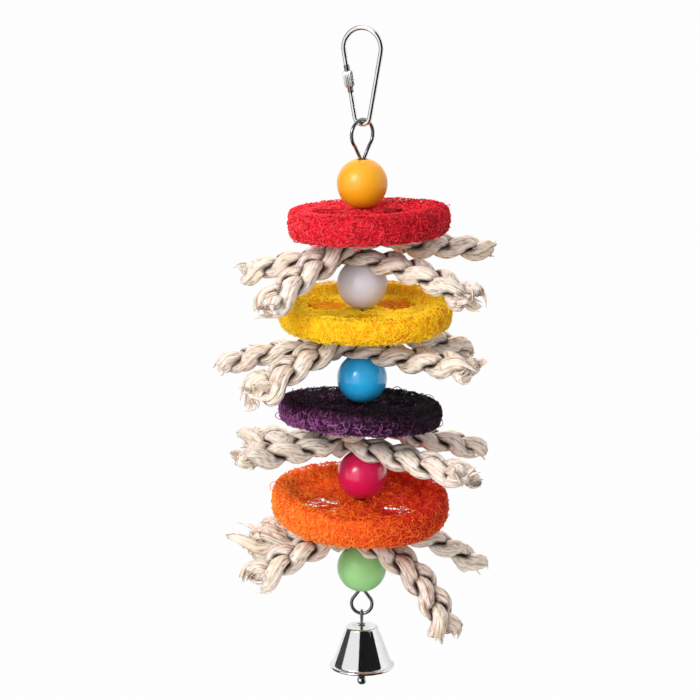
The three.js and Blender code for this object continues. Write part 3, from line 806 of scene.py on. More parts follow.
def wire_piece(name, rows, diameter, material, sides):
    """A round wire along each row of points."""
    tree = shared("Bent wire", bent_wire_tree)
    values = {"Radius": diameter / 2, "Sides": sides, "Material": material}
    return grown(name, lines_mesh(name, rows), tree, values)


# Quick link


def link_legs():
    """Centres of the link's bends, and the lean of its legs."""
    top = LINK_ROD / 2 - LINK_TOP_RADIUS
    foot = -LINK_INSIDE_LENGTH - LINK_ROD / 2 + LINK_FOOT_RADIUS
    return top, foot, asin((LINK_TOP_RADIUS - LINK_FOOT_RADIUS) / (top - foot))


def on_left_leg(distance):
    """Distance down the left leg from the top bend, as (across, height)."""
    top, _, lean = link_legs()
    across = -LINK_TOP_RADIUS * cos(lean) + distance * sin(lean)
    return across, top - LINK_TOP_RADIUS * sin(lean) - distance * cos(lean)


THREAD_DEPTH = 0.22 * MM
THREAD_REACH = 2.1 * MM
THREAD_STEPS = 14
THREAD_SIDES = 6


def thread_line(start, end, pitch, turn):
    """A screw line round the left leg between two distances down it."""
    lean = link_legs()[2]
    side = Vector((cos(lean), 0, sin(lean)))
    front = Vector((0, -1, 0))
    radius = LINK_ROD / 2
    steps = ceil((end - start) / pitch * THREAD_STEPS)
    spin = Matrix.Rotation(turn, 3, "Z")
    points = []
    for i in range(steps + 1):
        across, height = on_left_leg(start + (end - start) * i / steps)
        angle = tau * i / THREAD_STEPS
        around = side * (radius * cos(angle)) + front * (radius * sin(angle))
        points.append(spin @ (Vector((across, 0, height)) + around))
    return points


FLUTE_DEPTH = 0.14 * MM
FLUTE_STEPS = 6
SLEEVE_CHAMFER = 0.45 * MM
SLEEVE_EDGE = 0.1 * MM
SLEEVE_EDGE_RUN = 0.15 * MM


def sleeve_mesh(flutes):
    """A fluted barrel with chamfered ends, bored for the rod."""
    lean = link_legs()[2]
    across, height = on_left_leg(SLEEVE_FALL)
    turn = Matrix.Rotation(joint_turn("toy_swing"), 4, "Z")
    place = turn @ Matrix.Translation((across, 0, height)) @ Matrix.Rotation(-lean, 4, "Y")
    outside = SLEEVE_ACROSS_FLATS / 2
    half = SLEEVE_LENGTH / 2
    sides = flutes * FLUTE_STEPS
    rings = []
    for i in range(sides):
        angle = tau * i / sides
        ribbed = outside - FLUTE_DEPTH * (1 - cos(flutes * angle))
        upper = [
            (SLEEVE_BORE, half),
            (outside - SLEEVE_CHAMFER - FLUTE_DEPTH, half),
            (ribbed - SLEEVE_EDGE, half - SLEEVE_CHAMFER),
            (ribbed, half - SLEEVE_CHAMFER - SLEEVE_EDGE_RUN),
        ]
        profile = upper + [(r, -z) for r, z in reversed(upper)]
        rings.append([place @ Vector((r * cos(angle), r * sin(angle), z)) for r, z in profile])
    mesh = skin("link_sleeve_nut", rings, close_row=True)
    outward(mesh)
    return mesh


LINK_ROUGHNESS = 0.14
THREAD_ROUGHNESS = 0.3
SLEEVE_ROUGHNESS = 0.26
WIRE_ROUGHNESS = 0.17
CHROME_ROUGHNESS = 0.07


class TOY_OT_quick_link(Operator):
    """Bend the pear-shaped link, cut its thread and make the sleeve nut"""

    bl_idname = "toy.quick_link"
    bl_label = "Quick Link"

    def execute(self, context):
        settings = context.scene.toy_metal
        steel = plated("link_steel", settings.steel, LINK_ROUGHNESS)
        top, foot, lean = link_legs()
        turn = joint_turn("toy_swing")
        gap = (SLEEVE_FALL - LINK_GAP / 2, SLEEVE_FALL + LINK_GAP / 2)
        outline = [
            on_left_leg(gap[0]),
            *bend(top, LINK_TOP_RADIUS, pi + lean, -lean),
            *bend(foot, LINK_FOOT_RADIUS, -lean, -pi + lean),
            on_left_leg(gap[1]),
        ]
        link = wire_piece("link_rod", [in_plane(outline, turn)], LINK_ROD, steel, settings.sides)
        seat(link, "link", "link_steel", "pear_link")
        reach = SLEEVE_LENGTH / 2 + THREAD_REACH
        ends = ((SLEEVE_FALL - reach, gap[0]), (gap[1], SLEEVE_FALL + reach))
        turns = [thread_line(start, end, settings.thread_pitch, turn) for start, end in ends]
        oiled = plated("thread_steel", settings.thread, THREAD_ROUGHNESS)
        thread = wire_piece("link_thread", turns, 2 * THREAD_DEPTH, oiled, THREAD_SIDES)
        seat(thread, "link", "link_steel")
        sleeve = new_piece("link_sleeve", sleeve_mesh(settings.flutes))
        sleeve.data.materials.append(plated("sleeve_steel", settings.steel, SLEEVE_ROUGHNESS))
        seat(sleeve, "sleeve", "link_steel", "link_sleeve_nut")
        return {"FINISHED"}


# Wire


def eye_outline(length, radius):
    """An eye and its two strands, as (across, height above the bead)."""
    offset = (WIRE_D + STRAND_SPACE) / 2
    centre = length - WIRE_D / 2 - radius
    start = atan2(offset, centre) - acos(radius / hypot(offset, centre))
    loop = bend(centre, radius, start, pi - start)
    return [(offset, -WIRE_TAIL), (offset, 0), *loop, (-offset, 0), (-offset, -WIRE_TAIL)]


class TOY_OT_centre_wire(Operator):
    """Run the wire through the stack, with an eye at each end"""

    bl_idname = "toy.centre_wire"
    bl_label = "Centre Wire"

    def execute(self, context):
        settings = context.scene.toy_metal
        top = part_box("bead_yellow")[1].z
        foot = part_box("bead_green")[0].z
        upper = [(across, top + height) for across, height in eye_outline(TOP_EYE_LENGTH, TOP_EYE_RADIUS)]
        lower = [(across, foot - height) for across, height in eye_outline(FOOT_EYE_LENGTH, FOOT_EYE_RADIUS)]
        reach = WIRE_TAIL + WIRE_EASE
        run = [
            *in_plane(upper, TOP_EYE_TURN),
            Vector((0, 0, top - reach)),
            Vector((0, 0, foot + reach)),
            *reversed(in_plane(lower, joint_turn("bell_swing"))),
        ]
        # The wire's darker colour is painted shade for the dark that it mirrors
        steel = plated("wire_steel", settings.wire, WIRE_ROUGHNESS)
        wire = wire_piece("wire", [run], WIRE_D, steel, settings.sides)
        seat(wire, "wire", "wire_steel", "centre_wire")
        return {"FINISHED"}


# Beads

# Roughness of the paint and weight of the varnish over it
GLOSS = (0.3, 0.8)
SATIN = (0.42, 0.25)
BEAD_LUMPS = 0.003
BEAD_RIM_STEPS = 5
BORE_REACH = BEAD_BORE + 0.02 * MM


class TOY_OT_beads(Operator):
    """Turn, drill and paint the wooden beads"""

    bl_idname = "toy.beads"
    bl_label = "Beads"

    def execute(self, context):
        settings = context.scene.toy_beads
        wood = wooden("bare_wood", settings.bare_wood)
        for name in BEADS:
            node = f"bead_{name}"
            low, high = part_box(node)
            centre = (low + high) / 2
            bead = new_piece(f"ball_{name}", self.ball(node, centre, (high.x - low.x) / 2, settings))
            finish = GLOSS if name in GLOSSY_BEADS else SATIN
            bead.data.materials.append(painted(f"paint_{name}", getattr(settings, name), *finish))
            bead.data.materials.append(wood)
            for face in bead.data.polygons:
                away = face.center - centre
                face.material_index = int(hypot(away.x, away.y) < BORE_REACH)
            seat(bead, node, f"paint_{name}", node)
        return {"FINISHED"}

    def ball(self, name, centre, radius, settings):
        rim = settings.rim
        rim_x = BEAD_BORE + rim
        rim_z = ((radius - rim) ** 2 - rim_x**2) ** 0.5
        touch = atan2(rim_z, rim_x)
        profile = [
            *arc(rim_x, rim_z, rim, pi, touch, BEAD_RIM_STEPS),
            *arc(0, 0, radius, touch, -touch, settings.sides // 2)[1:-1],
            *arc(rim_x, -rim_z, rim, -touch, -pi, BEAD_RIM_STEPS),
        ]
        return turned_mesh(name, profile, settings.sides, centre, BEAD_LUMPS)


# Loofah slices


def slice_frame(name):
    """Place of a slice: its core's top, tilted as its joint's axis is."""
    joint = JOINTS[f"loofah_{name}_spin"]
    axis = joint["axis"]
    tilt = Euler((atan2(-axis[1], axis[2]), asin(axis[0]), 0), "XYZ")
    return Matrix.Translation(joint["pos_m"]) @ tilt.to_matrix().to_4x4()


def core_mesh(node, voxel):
    """An even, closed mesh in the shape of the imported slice."""
    mesh = frame["nodes"][node].data.copy()
    outward(mesh, merge=1e-6)
    source = put(f"{node}_source", mesh)
    modifier = source.modifiers.new("Even", "REMESH")
    modifier.mode = "VOXEL"
    modifier.voxel_size = voxel
    even = baked(source)
    even.materials.clear()
    return even


def push(mesh, depth):
    """Moves each point of a mesh along its normal by the depth there."""
    normals = [vertex.normal.copy() for vertex in mesh.vertices]
    for vertex, normal in zip(mesh.vertices, normals):
        vertex.co += normal * depth(vertex.co)


PIT_SCALES = (420, 900)
FINE_PITS = 0.6
PIT_DEPTH = 0.7


def roughen(mesh, sink, seed):
    """Sinks a core under its fibres and pits it, as a packed net is pitted."""
    shift = Vector((seed, 2 * seed, 3 * seed))

    def depth(point):
        wide, fine = (noise.noise(point * scale + shift) for scale in PIT_SCALES)
        return sink * (PIT_DEPTH * (wide + FINE_PITS * fine) - 1)

    push(mesh, depth)
    mesh.shade_smooth()


NET_FIBRES = 60
NET_THICKNESS = 0.3 * MM
NET_SIDES = 4
NET_STEPS = 3
NET_SAG = 1.2 * MM
NET_DEPTHS = (-4, -0.8)
NET_ARC = (0.5, 1.25)
NET_HALF_WIDTH = 8 * MM
NET_INTO_HUB = 1 * MM
NET_INTO_RIM = 9 * MM


def rounded_line(points, steps):
    """A smooth line through a few points, by Catmull-Rom."""
    ends = [2 * points[0] - points[1], *points, 2 * points[-1] - points[-2]]
    line = []
    for a, b, c, d in zip(ends, ends[1:], ends[2:], ends[3:]):
        for i in range(steps):
            t = i / steps
            bent = 2 * b + (c - a) * t + (2 * a - 5 * b + 4 * c - d) * t**2 + (3 * b - a - 3 * c + d) * t**3
            line.append(0.5 * bent)
    return [*line, points[-1]]


def chamber_net(name, turn, radius, seed):
    """Loose fibres across the seed chambers, as lines."""
    draw = Random(seed)
    place = slice_frame(name)
    inner = HUB_WIDTH / 2 - NET_INTO_HUB
    outer = radius - NET_INTO_RIM
    rows = []
    for chamber in range(CHAMBERS):
        spin = Matrix.Rotation(turn + pi / CHAMBERS + tau * chamber / CHAMBERS, 4, "Z")
        for _ in range(NET_FIBRES):
            start = draw.uniform(0, tau)
            end = start + draw.uniform(*NET_ARC) * pi
            depth = draw.uniform(*NET_DEPTHS) * MM
            ends = []
            for angle in (start, end):
                along = (inner + outer) / 2 + (outer - inner) / 2 * cos(angle)
                ends.append(Vector((along, NET_HALF_WIDTH * sin(angle), depth + draw.uniform(-1, 1) * MM)))
            middle = (ends[0] + ends[1]) / 2 + Vector(draw.uniform(-1, 1) * NET_SAG for _ in range(3))
            line = rounded_line([ends[0], middle, ends[1]], NET_STEPS)
            rows.append([place @ spin @ point for point in line])
    return rows


CORE_SHRINK = 0.35
BORE_CLEAR = 3.2 * MM


def outside_bore(core):
    """A copy of a core without the faces round the wire, where a fibre would catch on it."""
    copy = core.copy()
    with editing(copy) as work:
        near = [face for face in work.faces if face.calc_center_median().xy.length < BORE_CLEAR]
        bmesh.ops.delete(work, geom=near, context="FACES")
    return copy


FIBRE_SEGMENTS = 2
FIBRE_TURN = (0.3, 0.4)
STRAY_GROWTH = 2.6
STRAY_SEGMENTS = 5


class TOY_OT_loofah_slices(Operator):
    """Pack the cores of the loofah slices and cover them with dyed fibres"""

    bl_idname = "toy.loofah_slices"
    bl_label = "Loofah Slices"

    def execute(self, context):
        settings = context.scene.toy_loofah
        tree = shared("Surface fibres", fibres_tree)
        for seed, (name, make) in enumerate(SLICES.items(), start=11):
            node = f"loofah_{name}"
            dye = getattr(settings, name)
            core = core_mesh(node, settings.voxel)
            push(core, lambda point: -settings.lift * CORE_SHRINK)
            area = sum(face.area for face in core.polygons)
            roll, pitch = (make.loose * turn for turn in FIBRE_TURN)
            values = {
                "Density": settings.fibres / area,
                "Length": settings.length * make.coarse,
                "Thickness": settings.thickness * make.coarse,
                "Lift": settings.lift * make.loose,
                "Crown": make.crown,
                "Segments": FIBRE_SEGMENTS,
                "Turn Low": (-roll, -pitch, 0.0),
                "Turn High": (roll, pitch, tau),
                "Seed": seed,
                "Material": dyed(f"{name}_fibres", dye, make.pooled, make.thin, make.lean, tinted=True),
            }
            fibres = grown(f"fibres_{name}", outside_bore(core), tree, values)
            seat(fibres, node, node)
            values["Density"] = make.strays / area
            values["Length"] *= STRAY_GROWTH
            values["Lift"] *= STRAY_GROWTH
            values["Segments"] = STRAY_SEGMENTS
            strays = grown(f"strays_{name}", outside_bore(core), tree, values)
            seat(strays, node, node)
            roughen(core, settings.sink, seed)
            packed = new_piece(f"core_{name}", core)
            core.materials.append(dyed(f"{name}_core", dye, make.pooled, dye, make.lean, tinted=False))
            seat(packed, node, node, node)
            low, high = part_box(node)
            rows = chamber_net(name, make.turn, (high.x - low.x) / 2, seed)
            net = wire_piece(f"net_{name}", rows, NET_THICKNESS, values["Material"], NET_SIDES)
            seat(net, node, node)
        return {"FINISHED"}


# Husk braids


def smooth(t):
    t = min(1.0, max(0.0, t))
    return t * t * (3 - 2 * t)


def braid_thickness(distance, press):
    swell = smooth((distance - BRAID_PRESSED_REACH) / BRAID_SWELL)
    return press + (BRAID_THICKNESS - press) * swell


def first_dip(arm, axis):
    """The slope at which an arm starts, which follows the tilted underside of the slice above it."""
    heading = radians(arm[1])
    return atan2(axis[0] * cos(heading) + axis[1] * sin(heading), axis[2]) + radians(arm[2])


def arm_stations(arm, straight, dip_start, step):
    """One arm, walked outwards from the wire along the middle of its upper face."""
    length, heading_end, tip = arm[0] * MM, radians(arm[1]), radians(arm[3])
    steps = round(length / step)
    pace = length / steps
    point = Vector()
    stations = []
    for i in range(steps + 1):
        distance = i * pace
        dip = dip_start * min(1, distance / BRAID_DIP_EASE) + (tip - dip_start) * distance / length
        heading = straight + (heading_end - straight) * smooth(distance / BRAID_HEADING_EASE)
        ahead = Vector((cos(heading), sin(heading), 0))
        along = ahead * cos(dip) - Vector((0, 0, sin(dip)))
        up = ahead * sin(dip) + Vector((0, 0, cos(dip)))
        stations.append((point.copy(), along, up, distance))
        point += along * pace
    return stations


# Where the press of the slice stops, how fast a plait swells past it, and how much it is squeezed under it
EDGE_CLEAR = 5.5 * MM
EDGE_EASE = 4.5 * MM
EDGE_SWELL = 0.75
SQUEEZE = 0.16


class PlaitPath:
    """The bent and pressed run of one braid, which takes points of a straight plait to their places."""

    def __init__(self, name, step):
        braid = BRAIDS[name]
        dye = name.split("_")[0]
        axis = JOINTS[f"loofah_{dye}_spin"]["axis"]
        straight = radians(braid.left[1] - 180 + braid.right[1]) / 2
        left = arm_stations(braid.left, straight + pi, first_dip(braid.left, axis), step)[1:]
        right = arm_stations(braid.right, straight, first_dip(braid.right, axis), step)
        self.stations = [(p, -along, up, -d) for p, along, up, d in reversed(left)] + right
        self.distances = [station[3] for station in self.stations]
        self.origin = joint_at(f"braid_{name}_turn")
        self.press = SLICES[dye].press
        self.lower = name.endswith("lower")

    def place(self, point):
        """The place of a point given as distance along, across and above the middle of the plait."""
        distance, across, rise = point
        where = min(max(bisect(self.distances, distance) - 1, 0), len(self.stations) - 2)
        start, along, up, passed = self.stations[where]
        end, along_end, up_end, passed_end = self.stations[where + 1]
        share = (distance - passed) / (passed_end - passed)
        along = along.lerp(along_end, share)
        up = up.lerp(up_end, share)
        thickness = braid_thickness(abs(distance), self.press)
        free = smooth((hypot(distance, across) - EDGE_CLEAR) / EDGE_EASE)
        spare = EDGE_SWELL * (BRAID_THICKNESS - thickness) * free
        rise *= 1 - SQUEEZE * (1 - free)
        part = 0.5 + (-rise if self.lower else rise) / BRAID_THICKNESS
        level = (rise / BRAID_THICKNESS - 0.5) * thickness
        if self.lower:
            sag = BRAID_DROOP * (1 - smooth(abs(distance) / BRAID_DROOP_REACH))
            level -= sag * (2 * across / BRAID_WIDTH) ** 2 + spare * part
        else:
            level += spare * part
        return self.origin + start.lerp(end, share) + up.cross(along) * across + up * level


# A strand: the length of one plait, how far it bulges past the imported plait, and how it wanders and spirals
PLAIT_LENGTH = 39 * MM
STRAND_BULGE = 0.65 * MM
STRAND_SPIRAL = 45.0
STRAND_WANDER = 0.35 * MM
WANDER_SCALE = 70
WANDER_SEED = 5

# Its section: shares of its ribs, creases and plies, their noise as (round, along), the share of painted
# shade along its plies, and how leaf-like it is
RIB_DEPTH = 0.03
CREASE_DEPTH = 0.15
CREASE_NOISE = (1.6, 55)
PLY_DEPTH = 0.13
PLY_WIDTH = 0.1
PLY_NOISE = (4.5, 30)
PLY_SHADE = 0.6
FLATNESS = 0.86
KEENNESS = 1.3

# Its cut ends: how they open, swell and round off, and how unevenly they are cut
END_FLARE = 9 * MM
END_SPLAY = 0.2
END_BUSH = 0.35
END_ROUND = 1.6 * MM
END_BLUNT = 0.65
RAGGED = 1.0 * MM
RAGGED_SCALE = 5
SLANT = 1.6 * MM
CUT_BACK = -0.5 * MM
CUT_SPREAD = 1.2 * MM
BUSH_BACK = 5 * MM

# Its colour: scale of the streaks round and along it, how near another strand lays painted shade on it, and
# its tints
GRAIN_ROUND = 5.0
GRAIN_ALONG = 130.0
SHADE_NEAR = 3.0
SHADE_EASE = 1.8
STRAND_TINTS = (0.3, 1.0)


class Strand:
    """One strand of a straight plait: where its middle runs, how its section changes and where it is cut."""

    def __init__(self, index, path, braid, settings, draw):
        self.index = index
        self.path = path
        self.lay = braid.lay
        self.bush = braid.bush
        undone = BUSH_BACK * (self.bush - 1)
        self.start = path.distances[0] + CUT_BACK + undone + draw.uniform(-1, 1) * CUT_SPREAD
        self.end = path.distances[-1] - CUT_BACK + draw.uniform(-1, 1) * CUT_SPREAD
        self.shift = Vector((draw.uniform(0, 50), draw.uniform(0, 50), draw.uniform(0, 50)))
        self.width = settings.strand_width / 2
        self.height = settings.strand_thickness / 2
        self.plump = settings.plump
        self.sway = BRAID_WIDTH / 2 + STRAND_BULGE - self.width * (1 - self.plump)
        self.cross = BRAID_THICKNESS / 2 + STRAND_BULGE - self.height

    def middle(self, distance):
        phase = tau * (distance / PLAIT_LENGTH + self.index / STRANDS)
        return phase, self.sway * sin(phase), self.lay * self.cross * sin(2 * phase)

    def section(self, phase):
        """Half its width and height: flat where it crosses the middle, plump at the plait's edges."""
        edge = sin(phase) ** 2
        return self.width * (1 - self.plump * edge), self.height * (1 + self.plump * (2 * edge - 1))

    def axes(self, phase):
        """Directions ahead, across and up, square to the strand."""
        turn = tau / PLAIT_LENGTH
        across = self.sway * cos(phase) * turn
        rise = 2 * self.lay * self.cross * cos(2 * phase) * turn
        ahead = Vector((1, across, rise)).normalized()
        wide = Vector((-across, 1, 0)).normalized()
        return ahead, wide, ahead.cross(wide)

    def looseness(self, distance):
        return self.bush if distance < 0 else 1.0

    def flare(self, distance):
        """How far the plait has come undone: 0 along its run and 1 at a cut end and past it."""
        inside = min(distance - self.start, self.end - distance)
        return 1 - smooth(inside / (END_FLARE * self.looseness(distance)))

    def centre(self, distance):
        """The middle of the strand, splayed near its ends."""
        _, across, rise = self.middle(distance)
        splay = END_SPLAY * self.looseness(distance) * self.flare(distance)
        drift = noise.noise_vector(self.shift + Vector((distance * WANDER_SCALE, 0, 0))) * STRAND_WANDER
        return Vector((distance, across * (1 + splay), rise * (1 + 2 * splay))) + drift

    def fullness(self, distance):
        """How full the section is: swollen where a bushy end opens, and rounded off at the cut."""
        inside = max(0.0, min(distance - self.start, self.end - distance))
        swollen = 1 + END_BUSH * (self.looseness(distance) - 1) * self.flare(distance)
        rounded = (1 - max(0.0, 1 - inside / END_ROUND) ** 2) ** 0.5
        return swollen * (END_BLUNT + (1 - END_BLUNT) * rounded)

    def grain(self, angle, distance):
        spiral = angle + distance * STRAND_SPIRAL
        return GRAIN_ROUND * cos(spiral), GRAIN_ROUND * sin(spiral), self.shift.x + distance * GRAIN_ALONG

    def ripple(self, spiral, distance, scale):
        """Noise that runs along the strand's spiral."""
        around, along = scale
        place = Vector((around * cos(spiral), around * sin(spiral), distance * along))
        return noise.noise(self.shift + place)

    def nearness(self, point):
        """How close a point lies to the strand's skin: 1 on it and less inside."""
        phase, across, rise = self.middle(point[0])
        wide, high = self.section(phase)
        return ((point[1] - across) / wide) ** 2 + ((point[2] - rise) / high) ** 2


def husk_mesh(name, rings, grain, shades, tint):
    """A mesh over rings of points, with the attributes that colour husk."""
    mesh = skin(name, rings)
    mesh.attributes.new("grain", "FLOAT_VECTOR", "POINT").data.foreach_set("vector", grain)
    mesh.attributes.new("fold", "FLOAT", "POINT").data.foreach_set("value", shades)
    mesh.attributes.new("tint", "FLOAT", "POINT").data.foreach_set("value", [tint] * len(mesh.vertices))
    with editing(mesh) as work:
        bmesh.ops.recalc_face_normals(work, faces=work.faces)
    return mesh


def signed_power(value, power):
    return abs(value) ** power * (1 if value >= 0 else -1)


def strand_mesh(name, strand, others, settings, draw):
    """One strand's mesh, and its two end rings."""
    length = strand.end - strand.start
    steps = round(length / settings.step)
    twist = draw.uniform(0, tau)
    slants = {0: draw.uniform(-1, 1) * SLANT, steps: draw.uniform(-1, 1) * SLANT}
    rings = []
    grain = []
    shades = []
    for i in range(steps + 1):
        distance = strand.start + length * i / steps
        phase = strand.middle(distance)[0]
        half_width, half_height = (strand.fullness(distance) * half for half in strand.section(phase))
        ahead, wide, high = strand.axes(phase)
        flare = strand.flare(distance)
        middle = strand.centre(distance)
        ring = []
        for k in range(settings.sides):
            angle = tau * k / settings.sides
            c, s = cos(angle), sin(angle)
            spiral = angle + distance * STRAND_SPIRAL
            ply = smooth(1 - abs(strand.ripple(spiral, distance, PLY_NOISE)) / PLY_WIDTH)
            rib = 1 + RIB_DEPTH * cos(settings.ribs * spiral + twist)
            rib += CREASE_DEPTH * strand.ripple(spiral, distance, CREASE_NOISE) - PLY_DEPTH * ply
            x = half_width * rib * signed_power(c, FLATNESS)
            y = half_height * rib * signed_power(s, KEENNESS)
            point = middle + wide * x + high * y
            if i in slants:
                tear = noise.noise(strand.shift + Vector((RAGGED_SCALE * c, RAGGED_SCALE * s, i)))
                point += ahead * (slants[i] * c + RAGGED * tear)
            # Painted shade in the creases: darker where another strand comes near and along the plies, less
            # towards a cut end
            near = min(other.nearness(point) for other in others)
            shades.append(max(smooth((SHADE_NEAR - near) / SHADE_EASE) * (1 - flare), PLY_SHADE * ply))
            grain += strand.grain(angle, distance)
            ring.append(strand.path.place(point))
        rings.append(ring)
    mesh = husk_mesh(name, rings, grain, shades, draw.uniform(*STRAND_TINTS))
    return mesh, (rings[0][::-1], rings[-1])


# Strips at the cut ends: how they lie, curl and spread, how their sizes vary, and which come out of the core
STRIP_SIDES = 6
STRIP_ROWS = 8
STRIP_OVERLAP = 7.5 * MM
STRIP_SPREAD = 0.25
STRIP_CURL = 0.3
STRIP_LENGTHS = (0.7, 1.2)
STRIP_WIDTHS = (0.6, 1.2)
STRIP_TAPERS = (0.2, 0.85)
STRIP_LOOSENING = 0.4
STRIP_CORES = 3
STRIP_CORE_SIZE = 0.55
HUSK_THICKNESS = 0.26 * MM


def strip_mesh(name, strand, cut, way, size, settings, draw):
    """A strip of husk that wraps the end of a strand, comes away from it and ends in a slanting cut."""
    loose = strand.looseness(cut)
    angle = draw.uniform(0, tau)
    curl = draw.uniform(-1, 1) * STRIP_CURL
    length = settings.strip_length * draw.uniform(*STRIP_LENGTHS) * loose**STRIP_LOOSENING
    spread = STRIP_SPREAD * (loose - 1 + draw.uniform(-1, 0.5))
    width = settings.strip_width * draw.uniform(*STRIP_WIDTHS)
    taper = draw.uniform(*STRIP_TAPERS)
    slant = draw.uniform(-1, 1) * SLANT
    rings = []
    grain = []
    for row in range(STRIP_ROWS + 1):
        share = row / STRIP_ROWS
        away = share * length - STRIP_OVERLAP
        phase = strand.middle(cut + way * away)[0]
        half_width, half_height = strand.section(phase)
        _, wide, high = strand.axes(phase)
        swell = size * (1 + END_BUSH * (loose - 1)) * (1 + spread * share**2)
        half = width * (1 - taper * share**3) / (half_width + half_height) / size
        outer = []
        inner = []
        for k in range(STRIP_SIDES + 1):
            aside = 2 * k / STRIP_SIDES - 1
            turn = angle + curl * share + half * aside
            out = wide * half_width * cos(turn) + high * half_height * sin(turn)
            skewed = cut + way * (away + slant * aside * share**2)
            point = strand.centre(skewed) + out * swell
            outer.append(strand.path.place(point))
            inner.append(strand.path.place(point - out.normalized() * HUSK_THICKNESS))
            grain += strand.grain(turn, skewed)
        rings.append(outer + inner[::-1])
        grain += grain[-3 * len(outer) :]
    shades = [0.0] * sum(len(ring) for ring in rings)
    return husk_mesh(name, rings, grain, shades, draw.uniform(0, 1))


def joined(name, meshes):
    """One piece from several meshes."""
    work = bmesh.new()
    for mesh in meshes:
        work.from_mesh(mesh)
    whole = bpy.data.meshes.new(name)
    work.to_mesh(whole)
    work.free()
    whole.shade_smooth()
    return new_piece(name, whole)


FRAY_TURN = 0.35
FRAY_LIFT = 0.05
FRAY_SEGMENTS = 3


class TOY_OT_husk_braids(Operator):
    """Plait the husk braids and fray their cut ends"""

    bl_idname = "toy.husk_braids"
    bl_label = "Husk Braids"

    def execute(self, context):
        settings = context.scene.toy_braids
        noise.seed_set(WANDER_SEED)
        husk = husk_material("husk", settings)
        for seed, (name, braid) in enumerate(BRAIDS.items(), start=31):
            draw = Random(seed)
            node = f"braid_{name}"
            path = PlaitPath(name, settings.step)
            strands = [Strand(i, path, braid, settings, draw) for i in range(STRANDS)]
            meshes = []
            ends = []
            for i, strand in enumerate(strands):
                others = strands[:i] + strands[i + 1 :]
                mesh, end_rings = strand_mesh(f"strand_{i}", strand, others, settings, draw)
                meshes.append(mesh)
                ends.extend(end_rings)
                for cut, way in ((strand.start, -1), (strand.end, 1)):
                    meshes.extend(self.strips(strand, cut, way, settings, draw))
            plait = joined(f"plait_{name}", meshes)
            plait.data.materials.append(husk)
            seat(plait, node, "husk", node)
            frays = self.frays(name, ends, braid.bush, husk, seed, settings)
            seat(frays, node, "husk")
        return {"FINISHED"}

    def strips(self, strand, cut, way, settings, draw):
        """The strips at one end of a strand, some of them out of its core."""
        for i in range(round(settings.strips * strand.looseness(cut))):
            size = 1.0 if i % STRIP_CORES else STRIP_CORE_SIZE
            yield strip_mesh(f"strip_{i}", strand, cut, way, size, settings, draw)

    def frays(self, name, ends, bush, husk, seed, settings):
        """Fine fibres that stand out of the cut ends."""
        sides = len(ends[0])
        faces = [tuple(range(i * sides, (i + 1) * sides)) for i in range(len(ends))]
        cuts = mesh_of(f"cuts_{name}", [point for ring in ends for point in ring], faces)
        area = sum(face.area for face in cuts.polygons)
        values = {
            "Density": len(ends) * settings.frays * bush / area,
            "Length": settings.fray_length,
            "Thickness": HUSK_THICKNESS,
            "Lift": FRAY_LIFT * settings.fray_length,
            "Crown": 0.0,
            "Segments": FRAY_SEGMENTS,
            "Turn Low": (0.0, -pi / 2 - FRAY_TURN * bush, 0.0),
            "Turn High": (0.0, -pi / 2 + FRAY_TURN * bush, tau),
            "Seed": seed,
            "Material": husk,
        }
        return grown(f"frays_{name}", cuts, shared("Surface fibres", fibres_tree), values)


# Bell

BELL_RIM = 0.55 * MM
BELL_RIM_STEPS = 10
BELL_STEPS = 8
BELL_SIDES = 96
BELL_CROWN_EASE = 0.6 * MM
HANGER_FOOT_STEPS = 4
HOOK_CURL = radians(15)
CLAPPER_SIDES = 14
CLAPPER_BALL_SIDES = (32, 20)


